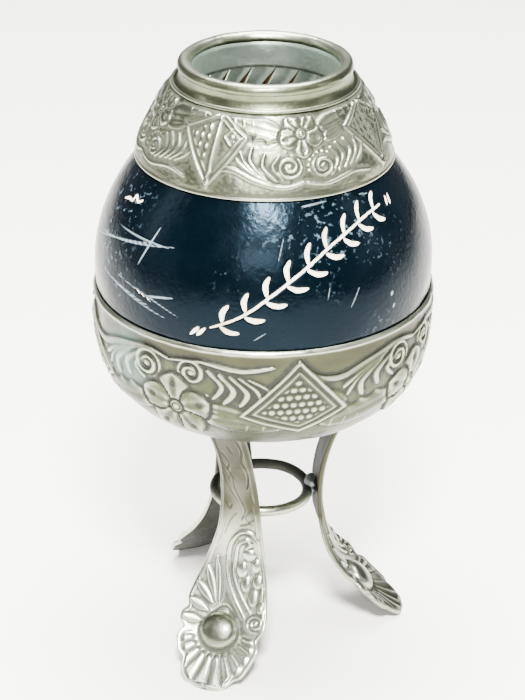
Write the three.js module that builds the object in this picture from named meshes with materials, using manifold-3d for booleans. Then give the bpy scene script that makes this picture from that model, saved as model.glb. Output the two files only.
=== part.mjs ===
// A drinking gourd in a metal mount: a dried, dyed calabash held by a chased nickel-silver collar
// round its mouth and by a chased bowl that stands on three cast legs tied by a small ring.
// Millimetres, +Z up, the floor is z = 0 and the gourd's axis is the Z axis.

import * as THREE from "three";
import { mergeVertices } from "three/addons/utils/BufferGeometryUtils.js";
import Module from "manifold-3d";

// ---------------------------------------------------------------- driving dimensions

const STAND_HEIGHT = 65.3; // floor to the underside of the bowl
const BOWL_DEPTH = 34.9; // underside of the bowl to its upper edge
const SHOULDER_HEIGHT = 33.4; // bowl edge to the lower edge of the collar
const COLLAR_HEIGHT = 17.6; // lower to upper edge of the collar
const NECK_HEIGHT = 4.85; // upper edge of the collar to the centre of the lip wire

const BODY_RADIUS = 41.7; // widest outside radius of the gourd
const COLLAR_RADIUS = 31.7; // outside radius of the collar's lower edge
const MOUTH_RADIUS = 17.9; // clear radius of the mouth
const NECK_MARGIN = 4.9; // from the mouth out to the collar's upper edge
const LIP_WIRE_RADIUS = 1.6; // rolled lip
const BEAD_WIRE_RADIUS = 0.5; // thin wire between the neck band and the collar

const SHEET = 0.6; // nickel-silver sheet
const GOURD_WALL = 4.0;
const CLEARANCE = 0.3; // fitting gap between neighbouring pieces

const BOWL_FULLNESS = 3.3; // exponent of the bowl's curve: 2 is an ellipse, more is squarer
const SHOULDER_FULLNESS = 2.6; // how long the shoulder keeps its width before it turns in
const COLLAR_SWEEP = 1.45; // how much the collar curls in towards its top

const LINER_WALL_HEIGHT = 5.4; // plain wall above the cut tabs of the liner
const TAB_COUNT = 19;
const TAB_DROP = 8.4; // height of the folded tabs
const TAB_TWIST = 0.34; // radians that a tab slants round the mouth
const TAB_FLARE = 1.5; // how far a tab's end stands out from the wall

const RING_HEIGHT = 38.9; // centre of the tie ring above the floor
const RING_RADIUS = 12.2; // centre line of the tie ring
const RING_WIRE_RADIUS = 1.4;
const RING_STANDOFF = 0.9; // gap between ring and leg, bridged by solder

const LEG_AZIMUTHS = { front: -21, right: 97, rear: 210 }; // degrees from -Y towards +X
const LEG_THICKNESS = 1.2;
const LEG_TOP_RADIUS = 23.2; // where a leg meets the bowl
const FOOT_RADIUS = 38.7; // tip of a foot
const SOLE_SINK = 0.45; // how much is filed off each sole to make it sit flat
const FOOT_LIFT = 1.7; // how far the sides of a foot curl up
const LEG_CROWN = 1.6; // how far the shank would bow inwards if it were as wide as the foot
const BOSS_RADIUS = 4.9;
const BOSS_HEIGHT = 2.6;
const BOSS_INSET = 15.9; // boss centre to the tip of the foot, along the leg
const BOSS_OFFSET = -1.0; // boss centre to the right of the leg's middle

const SOLDER_FILLET = 3.0; // height of the solder fillet under the bowl
const SOLDER_WIDTH = 7.0; // its length across the leg
const SOLDER_BLOB = 2.6; // radius of the solder round the ring at a leg

const ROUND = 40; // segments round the gourd and its mounts

// ---------------------------------------------------------------- derived heights

const BOWL_EDGE_Z = STAND_HEIGHT + BOWL_DEPTH;
const COLLAR_EDGE_Z = BOWL_EDGE_Z + SHOULDER_HEIGHT;
const COLLAR_TOP_Z = COLLAR_EDGE_Z + COLLAR_HEIGHT;
const LIP_Z = COLLAR_TOP_Z + NECK_HEIGHT;
const LIP_RADIUS = MOUTH_RADIUS + LIP_WIRE_RADIUS;
const COLLAR_TOP_RADIUS = MOUTH_RADIUS + NECK_MARGIN;
const HALF_THICK = LEG_THICKNESS / 2;
const LEG_WAIST_RADIUS = RING_RADIUS + RING_WIRE_RADIUS + RING_STANDOFF + HALF_THICK;

// ---------------------------------------------------------------- materials

const silver = (color, roughness) =>
  new THREE.MeshStandardMaterial({ color, roughness, metalness: 1 });
const chasedSilver = silver(0xa8a890, 0.38);
const polishedSilver = silver(0xc4c4b2, 0.22);
const castSilver = silver(0xb4b6a2, 0.34);
const darkSilver = silver(0x6c6c5e, 0.5);
const solder = silver(0x6f7d84, 0.6);
const dyedGourd = new THREE.MeshStandardMaterial({ color: 0x16242f, roughness: 0.35, metalness: 0 });

// ---------------------------------------------------------------- solids

const wasm = await Module();
wasm.setup();

// A closed geometry as a manifold-3d solid, in the geometry's own frame.
function solidOf(geometry) {
  const bare = geometry.clone();
  bare.deleteAttribute("normal");
  bare.deleteAttribute("uv");
  const merged = mergeVertices(bare, 1e-4);
  return new wasm.Manifold(
    new wasm.Mesh({
      numProp: 3,
      vertProperties: merged.attributes.position.array,
      triVerts: new Uint32Array(merged.index.array),
    }),
  );
}

function geometryOf(solid) {
  const { numProp, vertProperties, triVerts } = solid.getMesh();
  const places = new Float32Array((vertProperties.length / numProp) * 3);
  for (let i = 0; i < places.length / 3; i++)
    places.set(vertProperties.subarray(i * numProp, i * numProp + 3), i * 3);
  const geometry = new THREE.BufferGeometry();
  geometry.setAttribute("position", new THREE.BufferAttribute(places, 3));
  geometry.setIndex(new THREE.BufferAttribute(triVerts, 1));
  geometry.computeVertexNormals();
  return geometry;
}

// A solid of revolution about Z. The outline is a list of [radius, z] points; one that doesn't
// end on the axis is closed on itself, and it is turned so that its faces look out.
function turned(outline, segments = ROUND) {
  const onAxis = outline[0][0] === 0 && outline.at(-1)[0] === 0;
  const loop = onAxis ? outline : [...outline, outline[0]];
  const area = loop.reduce((sum, [r, z], i) => {
    const [nextR, nextZ] = loop[(i + 1) % loop.length];
    return sum + r * nextZ - nextR * z;
  }, 0);
  const points = loop.map(([r, z]) => new THREE.Vector2(r, z));
  if (area < 0) points.reverse();
  return new THREE.LatheGeometry(points, segments).rotateX(Math.PI / 2);
}

// The outline moved sideways by a distance, to its right as it is walked.
function moved(outline, distance) {
  return outline.map(([r, z], i) => {
    const [r0, z0] = outline[Math.max(i - 1, 0)];
    const [r1, z1] = outline[Math.min(i + 1, outline.length - 1)];
    const length = Math.hypot(r1 - r0, z1 - z0);
    return [
      Math.max(r + (distance * (z1 - z0)) / length, 0),
      z - (distance * (r1 - r0)) / length,
    ];
  });
}

const steps = (count, f) => Array.from({ length: count + 1 }, (_, i) => f(i / count));

// ---------------------------------------------------------------- outlines of the vessel

// The bowl part of the gourd, from the axis up to the bowl's edge: a squared-off quarter ellipse.
const gourdBottomZ = STAND_HEIGHT + SHEET + CLEARANCE;
const gourdLower = steps(10, (t) => {
  const angle = (Math.PI / 2) * (1 - t);
  return [
    t === 0 ? 0 : BODY_RADIUS * Math.cos(angle) ** (2 / BOWL_FULLNESS),
    BOWL_EDGE_Z - (BOWL_EDGE_Z - gourdBottomZ) * Math.sin(angle) ** (2 / BOWL_FULLNESS),
  ];
});

// The collar's outside, from its lower edge to its top.
const collarOutside = steps(6, (t) => [
  COLLAR_RADIUS - (COLLAR_RADIUS - COLLAR_TOP_RADIUS) * t ** COLLAR_SWEEP,
  COLLAR_EDGE_Z + COLLAR_HEIGHT * t,
]);
const collarInside = moved(collarOutside, -SHEET);

// The gourd under the collar stops a sheet below the collar's top.
const gourdNeck = moved(collarOutside, -SHEET - CLEARANCE).slice(0, -1);

// The open shoulder between bowl and collar.
const [neckRadius, neckZ] = gourdNeck[0];
const gourdShoulder = steps(7, (t) => [
  BODY_RADIUS - (BODY_RADIUS - neckRadius) * t ** SHOULDER_FULLNESS,
  BOWL_EDGE_Z + (neckZ - BOWL_EDGE_Z) * t,
]).slice(1, -1);

const gourdOutside = [...gourdLower, ...gourdShoulder, ...gourdNeck];
const gourdMouthRadius = MOUTH_RADIUS + SHEET + 2 * CLEARANCE; // room for the tabs to turn out

function gourdShell() {
  const inside = moved(gourdOutside, -GOURD_WALL);
  inside[0] = [0, gourdBottomZ + GOURD_WALL];
  const cavity = inside.filter(([r, z], i) => i === 0 || r > gourdMouthRadius || z < BOWL_EDGE_Z);
  const topZ = gourdOutside.at(-1)[1];
  const mouth = [gourdMouthRadius, topZ];
  return turned([...gourdOutside, mouth, ...cavity.reverse()]);
}

// The bowl follows the gourd with a fitting gap, up to the shared edge.
function baseBowl() {
  const inside = moved(gourdLower, CLEARANCE);
  const outside = bowlOutside();
  return turned([...outside, ...inside.reverse()]);
}

function bowlOutside(extra = 0) {
  const outside = moved(gourdLower, CLEARANCE + SHEET + extra);
  outside[0] = [0, STAND_HEIGHT - extra];
  return outside;
}

function collarSkirt() {
  return turned([...collarOutside, ...[...collarInside].reverse()]);
}

// ---------------------------------------------------------------- neck, lip and liner

const wire = (radius, thickness, z, sides = 8) =>
  new THREE.TorusGeometry(radius, thickness, sides, ROUND).translate(0, 0, z);

const beadRadius = COLLAR_TOP_RADIUS - BEAD_WIRE_RADIUS;
const beadZ = COLLAR_TOP_Z + CLEARANCE + BEAD_WIRE_RADIUS;

// The short flared band between the lip wire and the bead wire.
function neckBand() {
  const foot = [beadRadius - BEAD_WIRE_RADIUS - CLEARANCE, beadZ];
  const headZ = LIP_Z - LIP_WIRE_RADIUS;
  const head = [foot[0] - (headZ - beadZ) * 0.4, headZ];
  return turned([foot, head, [head[0] - SHEET, head[1]], [foot[0] - SHEET, foot[1]]]);
}

// The liner: a plain wall whose lower edge is cut into slanting tabs that are folded out
// against the inside of the gourd.
function mouthLiner() {
  const topZ = LIP_Z - LIP_WIRE_RADIUS - CLEARANCE / 2;
  const wallFootZ = topZ - LINER_WALL_HEIGHT;
  const inner = MOUTH_RADIUS;
  const outer = MOUTH_RADIUS + SHEET;
  let liner = solidOf(turned([[inner, topZ], [inner, wallFootZ], [outer, wallFootZ], [outer, topZ]]));
  const pitch = (2 * Math.PI) / TAB_COUNT;
  for (let i = 0; i < TAB_COUNT; i++) liner = liner.add(solidOf(tab(i * pitch, pitch, wallFootZ)));
  return geometryOf(liner);
}

// One tab: a slanting plate that narrows downwards and leans outwards.
function tab(start, pitch, rootZ) {
  const rows = 3;
  const buried = 0.6; // overlap with the wall above
  const places = [];
  for (let row = 0; row <= rows; row++) {
    const t = row / rows;
    const z = rootZ + buried - (TAB_DROP + buried) * t;
    const lean = TAB_FLARE * t;
    const inner = MOUTH_RADIUS + 0.1 + lean;
    const outer = inner + SHEET - 0.2;
    const from = start + TAB_TWIST * t;
    const to = start + TAB_TWIST * t + pitch * (0.92 - 0.45 * t);
    for (const [radius, angle] of [[inner, from], [outer, from], [outer, to], [inner, to]])
      places.push(radius * Math.cos(angle), radius * Math.sin(angle), z);
  }
  const faces = [0, 2, 1, 0, 3, 2];
  for (let row = 0; row < rows; row++)
    for (let k = 0; k < 4; k++) {
      const a = row * 4 + k;
      const b = row * 4 + ((k + 1) % 4);
      faces.push(a, b, b + 4, a, b + 4, a + 4);
    }
  const last = rows * 4;
  faces.push(last, last + 1, last + 2, last, last + 2, last + 3);
  return closedMesh(places, faces);
}

// An indexed closed mesh, turned inside out if its faces look in.
function closedMesh(places, faces) {
  const corner = (i) => new THREE.Vector3().fromArray(places, i * 3);
  let volume = 0;
  for (let i = 0; i < faces.length; i += 3) {
    const [a, b, c] = faces.slice(i, i + 3).map(corner);
    volume += a.dot(b.cross(c));
  }
  if (volume < 0)
    for (let i = 0; i < faces.length; i += 3) {
      const second = faces[i + 1];
      faces[i + 1] = faces[i + 2];
      faces[i + 2] = second;
    }
  const geometry = new THREE.BufferGeometry();
  geometry.setAttribute("position", new THREE.Float32BufferAttribute(places, 3));
  geometry.setIndex(faces);
  return geometry;
}

// ---------------------------------------------------------------- legs

// The centre line of a leg in its own upright plane, as [radius, z]: from inside the bowl down
// and in to the waist at the ring, then out along the sole to the tip.
const bezier = (...points) =>
  new THREE.CubicBezierCurve(...points.map(([r, z]) => new THREE.Vector2(r, z)));
const soleZ = HALF_THICK - SOLE_SINK; // lowest point of the leg's middle surface
const footSpread = FOOT_RADIUS - LEG_WAIST_RADIUS;
const waist = [LEG_WAIST_RADIUS, RING_HEIGHT];
const ball = [FOOT_RADIUS - 1.6, soleZ + 0.45];
const legCurve = new THREE.CurvePath();
legCurve.add(
  bezier(
    [LEG_TOP_RADIUS + 0.8, STAND_HEIGHT + 2.2],
    [LEG_TOP_RADIUS - 3.6, RING_HEIGHT + (STAND_HEIGHT - RING_HEIGHT) * 0.75],
    [LEG_WAIST_RADIUS, RING_HEIGHT + (STAND_HEIGHT - RING_HEIGHT) * 0.42],
    waist,
  ),
);
legCurve.add(
  bezier(
    waist,
    [LEG_WAIST_RADIUS, RING_HEIGHT * 0.49],
    [LEG_WAIST_RADIUS + footSpread * 0.52, RING_HEIGHT * 0.16],
    ball,
  ),
);
legCurve.add(
  bezier(ball, [ball[0] + 0.6, soleZ], [ball[0] + 1.1, soleZ], [FOOT_RADIUS, soleZ + 0.15]),
);
const LEG_LENGTH = legCurve.getLength();

// Half widths of a leg on its left and right, as shares of the way down it. The left side flares
// into the shell-shaped foot early, and the right side stays almost straight.
const LEG_STATIONS = [
  [0, 5.2, 4.0],
  [0.1, 4.4, 4.1],
  [0.2, 4.2, 4.2],
  [0.35, 4.8, 4.9],
  [0.45, 5.6, 5.7],
  [0.55, 7.9, 7.2],
  [0.65, 10.2, 9.2],
  [0.75, 11.4, 10.6],
  [0.84, 10.9, 10.4],
  [0.92, 8.9, 8.4],
  [0.97, 6.2, 5.8],
  [1, 2.4, 2.2],
];
const FOOT_HALF_WIDTH = Math.max(...LEG_STATIONS.map(([, left]) => left));
function halfWidth(share, side) {
  const next = Math.max(1, LEG_STATIONS.findIndex(([at]) => at >= share));
  const [from, to] = [LEG_STATIONS[next - 1], LEG_STATIONS[next]];
  const t = (share - from[0]) / (to[0] - from[0]);
  return from[side] + (to[side] - from[side]) * t;
}

// The leg's plate between two distances from its middle surface, in the leg's own plane at
// azimuth 0: out is -Y and its left side is -X. The extra distance widens it on both sides.
function legPlate(innerOffset, outerOffset, extra = 0) {
  const rows = 26;
  const columns = 6;
  const faceOf = (offset) =>
    steps(rows, (share) => {
      const place = legCurve.getPointAt(share);
      const along = legCurve.getTangentAt(share);
      const normal = [-along.y, along.x];
      const footShare = THREE.MathUtils.smoothstep(share, 0.5, 0.8);
      const curl = (FOOT_LIFT * footShare - LEG_CROWN * (1 - footShare)) / FOOT_HALF_WIDTH ** 2;
      const left = halfWidth(share, 1) + extra;
      const right = halfWidth(share, 2) + extra;
      return steps(columns, (u) => {
        const across = (2 * u - 1) * (u < 0.5 ? left : right);
        const out = offset + curl * across ** 2;
        return [
          across,
          -(place.x + normal[0] * out),
          place.y + normal[1] * out,
        ];
      });
    });
  const [outer, inner] = [faceOf(outerOffset), faceOf(innerOffset)];
  const places = [...outer, ...inner].flat(2);
  const index = (face, row, column) => (face * (rows + 1) + row) * (columns + 1) + column;
  const faces = [];
  const quad = (a, b, c, d) => faces.push(a, b, c, a, c, d);
  for (let row = 0; row < rows; row++)
    for (let column = 0; column < columns; column++) {
      const corners = [[row, column], [row, column + 1], [row + 1, column + 1], [row + 1, column]];
      quad(...corners.map((at) => index(0, ...at)));
      quad(...corners.reverse().map((at) => index(1, ...at)));
    }
  for (let row = 0; row < rows; row++) {
    quad(index(0, row, 0), index(0, row + 1, 0), index(1, row + 1, 0), index(1, row, 0));
    quad(
      index(1, row, columns), index(1, row + 1, columns),
      index(0, row + 1, columns), index(0, row, columns),
    );
  }
  for (let column = 0; column < columns; column++) {
    quad(index(1, 0, column), index(1, 0, column + 1), index(0, 0, column + 1), index(0, 0, column));
    quad(
      index(0, rows, column), index(0, rows, column + 1),
      index(1, rows, column + 1), index(1, rows, column),
    );
  }
  return closedMesh(places, faces);
}

// The polished boss on a foot, a flattened dome that is one casting with the leg.
function boss() {
  const share = 1 - BOSS_INSET / LEG_LENGTH;
  const place = legCurve.getPointAt(share);
  const along = legCurve.getTangentAt(share);
  const tilt = Math.atan2(along.x, along.y);
  return new THREE.SphereGeometry(BOSS_RADIUS, 16, 10)
    .scale(1, (BOSS_HEIGHT + HALF_THICK) / BOSS_RADIUS, 1)
    .rotateX(tilt)
    .translate(BOSS_OFFSET, -place.x, place.y);
}

// Everything of the bowl that a leg must stay below, and everything under the floor.
const bowlSeat = solidOf(turned([...bowlOutside(CLEARANCE), [0, BOWL_EDGE_Z]]));
const floorSize = 4 * FOOT_RADIUS;
const underFloor = solidOf(
  new THREE.BoxGeometry(floorSize, floorSize, floorSize).translate(0, 0, -floorSize / 2),
);
const legSole = solidOf(legPlate(-HALF_THICK - 2 * BOSS_HEIGHT, -HALF_THICK));
const legSolid = solidOf(boss())
  .subtract(legSole)
  .add(solidOf(legPlate(-HALF_THICK, HALF_THICK)))
  .subtract(bowlSeat)
  .subtract(underFloor);

// ---------------------------------------------------------------- solder

// The fillet in the corner between the inner face of a leg and the underside of the bowl.
const legShadow = solidOf(
  legPlate(-HALF_THICK - CLEARANCE, HALF_THICK + CLEARANCE, CLEARANCE),
);
function legSolder() {
  const buried = 1; // how far the raw prism reaches into the bowl before it is cut back
  const legFace = LEG_TOP_RADIUS - 0.8; // just inside the leg's inner face at the bowl
  const outline = new THREE.Shape();
  outline.moveTo(legFace, STAND_HEIGHT + buried);
  outline.lineTo(legFace - 1.3 * SOLDER_FILLET, STAND_HEIGHT + buried);
  outline.lineTo(legFace - 0.45 * SOLDER_FILLET, STAND_HEIGHT - SOLDER_FILLET);
  outline.closePath();
  const prism = new THREE.ExtrudeGeometry(outline, { depth: SOLDER_WIDTH, bevelEnabled: false });
  const outwards = new THREE.Vector3(0, -1, 0);
  const upwards = new THREE.Vector3(0, 0, 1);
  const across = new THREE.Vector3(-1, 0, 0);
  prism.applyMatrix4(new THREE.Matrix4().makeBasis(outwards, upwards, across));
  prism.translate(SOLDER_WIDTH / 2, 0, 0);
  return solidOf(prism).subtract(legShadow).subtract(bowlSeat);
}

// The solder that wraps the ring where it touches the inner face of a leg.
const ringShadow = solidOf(wire(RING_RADIUS, RING_WIRE_RADIUS + CLEARANCE, RING_HEIGHT));
function ringSolder() {
  const blob = new THREE.SphereGeometry(SOLDER_BLOB, 12, 8)
    .translate(0, -RING_RADIUS - RING_STANDOFF, RING_HEIGHT);
  return solidOf(blob).subtract(legShadow).subtract(ringShadow);
}

// ---------------------------------------------------------------- assembly

const cup = new THREE.Group();
function place(name, geometry, material, parent = cup) {
  const mesh = new THREE.Mesh(geometry, material);
  mesh.name = name;
  parent.add(mesh);
}

place("gourd_shell", gourdShell(), dyedGourd);
place("base_bowl", baseBowl(), chasedSilver);
place("collar_skirt", collarSkirt(), chasedSilver);
place("neck_bead_wire", wire(beadRadius, BEAD_WIRE_RADIUS, beadZ, 6), polishedSilver);
place("neck_band", neckBand(), polishedSilver);
place("mouth_lip_ring", wire(LIP_RADIUS, LIP_WIRE_RADIUS, LIP_Z), polishedSilver);
place("mouth_liner", mouthLiner(), darkSilver);
place("stand_ring", wire(RING_RADIUS, RING_WIRE_RADIUS, RING_HEIGHT), polishedSilver);

for (const [where, azimuth] of Object.entries(LEG_AZIMUTHS)) {
  const corner = new THREE.Group();
  corner.rotation.z = THREE.MathUtils.degToRad(azimuth);
  cup.add(corner);
  place("leg_" + where, geometryOf(legSolid), castSilver, corner);
  place("leg_solder_" + where, geometryOf(legSolder()), solder, corner);
  place("ring_solder_" + where, geometryOf(ringSolder()), solder, corner);
}

export default cup;
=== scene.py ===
"""A drinking gourd mounted in nickel silver, on three cast legs.

The cup's lengths are millimetres and become metres in surface(); the camera, the lamps and the
table are placed in metres. Azimuth is in degrees, 0 at -Y and growing towards +X. Every piece is
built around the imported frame, in assembly order.
"""

import math

import bpy
import numpy as np
from mathutils import Matrix, Vector


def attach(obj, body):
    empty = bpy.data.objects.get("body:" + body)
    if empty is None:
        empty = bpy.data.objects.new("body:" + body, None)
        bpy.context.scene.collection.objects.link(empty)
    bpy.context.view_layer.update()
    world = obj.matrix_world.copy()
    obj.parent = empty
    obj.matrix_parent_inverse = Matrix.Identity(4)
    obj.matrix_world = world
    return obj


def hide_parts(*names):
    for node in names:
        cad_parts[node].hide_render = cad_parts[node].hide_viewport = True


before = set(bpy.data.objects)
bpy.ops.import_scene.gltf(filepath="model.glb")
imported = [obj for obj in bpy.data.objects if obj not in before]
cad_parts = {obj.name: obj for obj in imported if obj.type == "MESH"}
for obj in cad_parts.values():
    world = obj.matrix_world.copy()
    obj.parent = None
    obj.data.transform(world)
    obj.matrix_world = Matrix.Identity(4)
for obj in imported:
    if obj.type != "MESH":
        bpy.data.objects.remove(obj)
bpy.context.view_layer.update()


# ---- Camera, light and floor -----------------------------------------------------------
# A white matt table top in a pale room, lit by a wide soft box overhead, a small strong one in
# front, a low one behind the camera and a weak one on each side. The camera looks down on the cup
# from about half a metre.
CAMERA_PLACE = (0.0, -0.48982, 0.32866)
CAMERA_DOWN = math.radians(26.98)
CAMERA_ROLL = math.radians(0.605)
FIELD_HEIGHT = 24.0
FOCAL_LENGTH = 73.99
FLOOR_COLOUR = "#faf7f1"
ROOM_COLOUR = "#e9edf0"
ROOM_BEHIND, ROOM_IN_FRONT = 0.42, 0.20
TABLE_HALF = 3.0
CUP_MIDDLE = (0, 0, 0.09)


def linear(code):
    """Linear red, green, blue and alpha of an sRGB hex colour, by the sRGB curve."""
    share = [int(code[i:i + 2], 16) / 255 for i in (1, 3, 5)]
    return [s / 12.92 if s < 0.04045 else ((s + 0.055) / 1.055) ** 2.4 for s in share] + [1.0]


def add(tree, kind, inputs=None, **settings):
    """Adds one node with its own settings. Each input takes a number, a hex colour or a link."""
    node = tree.nodes.new(kind)
    for key, value in settings.items():
        setattr(node, key, value)
    for key, value in (inputs or {}).items():
        if isinstance(value, bpy.types.NodeSocket):
            tree.links.new(value, node.inputs[key])
        else:
            node.inputs[key].default_value = linear(value) if isinstance(value, str) else value
    return node


def material(name, inputs):
    """A new material, as (material, its node tree, its shader with those inputs)."""
    made = bpy.data.materials.new(name)
    made.use_nodes = True
    tree = made.node_tree
    tree.nodes.clear()
    shader = add(tree, "ShaderNodeBsdfPrincipled", inputs)
    add(tree, "ShaderNodeOutputMaterial", {"Surface": shader.outputs[0]})
    return made, tree, shader


def show(name, mesh):
    """Puts a mesh into the scene as an object at the origin."""
    piece = bpy.data.objects.new(name, mesh)
    bpy.context.scene.collection.objects.link(piece)
    return piece


eye = bpy.data.cameras.new("camera")
eye.sensor_fit = "VERTICAL"
eye.sensor_height = FIELD_HEIGHT
eye.lens = FOCAL_LENGTH
eye.clip_start = 0.01
eye.clip_end = 20
camera = show("camera", eye)
camera.location = CAMERA_PLACE
tilt = Matrix.Rotation(math.pi / 2 - CAMERA_DOWN, 3, "X") @ Matrix.Rotation(CAMERA_ROLL, 3, "Z")
camera.rotation_euler = tilt.to_euler()
bpy.context.scene.camera = camera

room = bpy.data.worlds.new("room")
room.use_nodes = True
room_light = room.node_tree.nodes["Background"]
room_light.inputs["Color"].default_value = linear(ROOM_COLOUR)
# the wall behind the cup is bright, and the room in front of it is dimmer
way = add(room.node_tree, "ShaderNodeTexCoord").outputs["Generated"]
depth = add(room.node_tree, "ShaderNodeSeparateXYZ", {0: way}).outputs["Y"]
strength = add(room.node_tree, "ShaderNodeMapRange", {"Value": depth, "From Min": -0.1,
                                                      "From Max": 0.9, "To Min": ROOM_IN_FRONT,
                                                      "To Max": ROOM_BEHIND})
room.node_tree.links.new(strength.outputs[0], room_light.inputs["Strength"])
bpy.context.scene.world = room

# name, place, size across and up, power in watts
for name, place, size, power in (
    ("front_softbox", (0.02, -0.66, 0.92), (0.24, 0.16), 70.0),
    ("low_front_softbox", (-0.05, -1.10, 0.62), (0.50, 0.30), 12.0),
    ("left_softbox", (-0.95, -0.05, 0.60), (0.16, 0.60), 2.0),
    ("right_softbox", (0.95, -0.15, 0.55), (0.14, 0.55), 1.6),
    ("top_softbox", (0.0, 0.20, 1.10), (0.80, 0.70), 68.0),
):
    lamp = bpy.data.lights.new(name, "AREA")
    lamp.shape = "RECTANGLE"
    lamp.size = size[0]
    lamp.size_y = size[1]
    lamp.energy = power
    softbox = show(name, lamp)
    softbox.location = place
    aim = Vector(CUP_MIDDLE) - softbox.location
    softbox.rotation_euler = aim.to_track_quat("-Z", "Y").to_euler()

floor_mesh = bpy.data.meshes.new("floor")
table_corners = [(TABLE_HALF * i, TABLE_HALF * j, 0) for i, j in ((-1, -1), (1, -1), (1, 1), (-1, 1))]
floor_mesh.from_pydata(table_corners, [], [(0, 1, 2, 3)])
floor = show("floor", floor_mesh)
# White laminate with a matt face: it mirrors next to nothing, and lights the cup from below.
table_top, _, _ = material("pale_table_top", {"Base Color": FLOOR_COLOUR, "Roughness": 0.55})
floor_mesh.materials.append(table_top)


# ---- Gourd shell -----------------------------------------------------------------------
# A dried calabash with its neck cut off, dyed blue-black and waxed. Leaves and a zigzag are cut
# through the dye with a knife, so that the pale rind shows, and use has scratched it.
GOURD_RADIUS = 41.7
GOURD_LOW = 66.2
BOWL_EDGE = 100.2
COLLAR_EDGE = 133.6
SHOULDER_RISE = 33.4
GOURD_SHOULDER = 10.9
SHOULDER_FULLNESS = 2.6
BELLY_FULLNESS = 2 / 3.3
GOURD_SWELL = 3.6
GOURD_WALL = 4.0
MOUTH_HOLE = 19.1
MOUTH_TOP = 147.8
MOUTH_ROUNDING = 2.2
INSIDE_FLOOR = ((20.0, 71.2), (8.0, 70.4))
CARVED_SIDE = 95
CARVED_COLUMNS, PLAIN_COLUMNS = 430, 150
# strokes are laid out on a flat sheet wrapped at this radius, and felt up to this distance
MARK_RADIUS = 39.0
MARK_REACH = 3.0
CUT_DEPTH, SCRATCH_DEPTH = 0.28, 0.06
LEAF_PAIRS, LEAF_LENGTH, LEAF_HALF_WIDTH = 9, 4.4, 0.62
STEM_HALF_WIDTH = 0.34
# sizes of the worn patches, the clouds in the dye and the specks
PATCH_MM, CLOUD_MM, SPECK_MM = 38.46, 14.29, 1.282
DYE_DEEP, DYE_PALE = "#010407", "#03090e"
RIND_COLOUR, RIND_SHADE = "#e9dfc6", "#b08d62"
SCRATCH_COLOUR, FLECK_COLOUR = "#8fa0a6", "#5d7480"
INSIDE_COLOUR, INSIDE_DARK = "#6b4e30", "#34251a"


def smooth(low, high, value):
    """0 below low, 1 above high, and the smooth cubic step between."""
    t = np.clip((value - low) / (high - low), 0, 1)
    return t * t * (3 - 2 * t)


def grain(u, v, seed, around=64):
    """Smooth random field between -0.5 and 0.5. Seeded heights stand on the whole numbers of u and
    v, and the nearest four are blended by smooth steps. It repeats after 'around' steps of u."""
    table = np.random.default_rng(seed).random((around, 64)) - 0.5
    i, j = np.floor(u).astype(int), np.floor(v).astype(int)
    s, t = smooth(0, 1, u - i), smooth(0, 1, v - j)
    low = table[i % around, j % 64] * (1 - s) + table[(i + 1) % around, j % 64] * s
    high = table[i % around, (j + 1) % 64] * (1 - s) + table[(i + 1) % around, (j + 1) % 64] * s
    return low * (1 - t) + high * t


def nearest(x, y, bends, reach):
    """Distance to a smooth curve through the bends, and the share of its length at the nearest
    point. The curve is a Catmull-Rom spline cut into short straight runs. Beyond reach it is reach."""
    bends = np.array(bends, float)
    count = len(bends) - 1
    step = np.linspace(0, count, 8 * count + 1)
    k = np.minimum(step.astype(int), count - 1)
    u = (step - k)[:, None]
    before, here = bends[np.maximum(k - 1, 0)], bends[k]
    there, after = bends[k + 1], bends[np.minimum(k + 2, count)]
    cubic = 3 * (here - there) + after - before
    square = 2 * before - 5 * here + 4 * there - after
    line = here + 0.5 * u * ((there - before) + u * (square + u * cubic))
    low, high = line.min(0) - reach, line.max(0) + reach
    close = (x > low[0]) & (x < high[0]) & (y > low[1]) & (y < high[1])
    px, py = x[close], y[close]
    best, share = np.full(px.shape, float(reach)), np.zeros(px.shape)
    for i, ((ax, ay), (dx, dy)) in enumerate(zip(line[:-1], np.diff(line, axis=0))):
        t = np.clip(((px - ax) * dx + (py - ay) * dy) / (dx * dx + dy * dy + 1e-12), 0, 1)
        d = np.hypot(px - ax - t * dx, py - ay - t * dy)
        share = np.where(d < best, (i + t) / (len(line) - 1), share)
        best = np.minimum(d, best)
    distance, along = np.full(x.shape, float(reach)), np.zeros(x.shape)
    distance[close], along[close] = best, share
    return distance, along


def profile_lengths(r, z):
    """Length along a profile up to each of its points."""
    return np.concatenate([[0], np.cumsum(np.hypot(np.diff(r), np.diff(z)))])


def turned(r, z, azimuth, lift=0.0):
    """Points of a turned surface. Each profile point is carried round the axis, and is moved by
    lift along the profile's own normal, which is its direction of travel turned to the right."""
    dr, dz = np.gradient(r), np.gradient(z)
    size = np.hypot(dr, dz)
    radius = r[:, None] + lift * (dz / size)[:, None]
    height = z[:, None] - lift * (dr / size)[:, None] + 0 * azimuth[None]
    a = np.radians(azimuth)[None]
    return np.stack([radius * np.sin(a), -radius * np.cos(a), height], -1)


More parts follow.
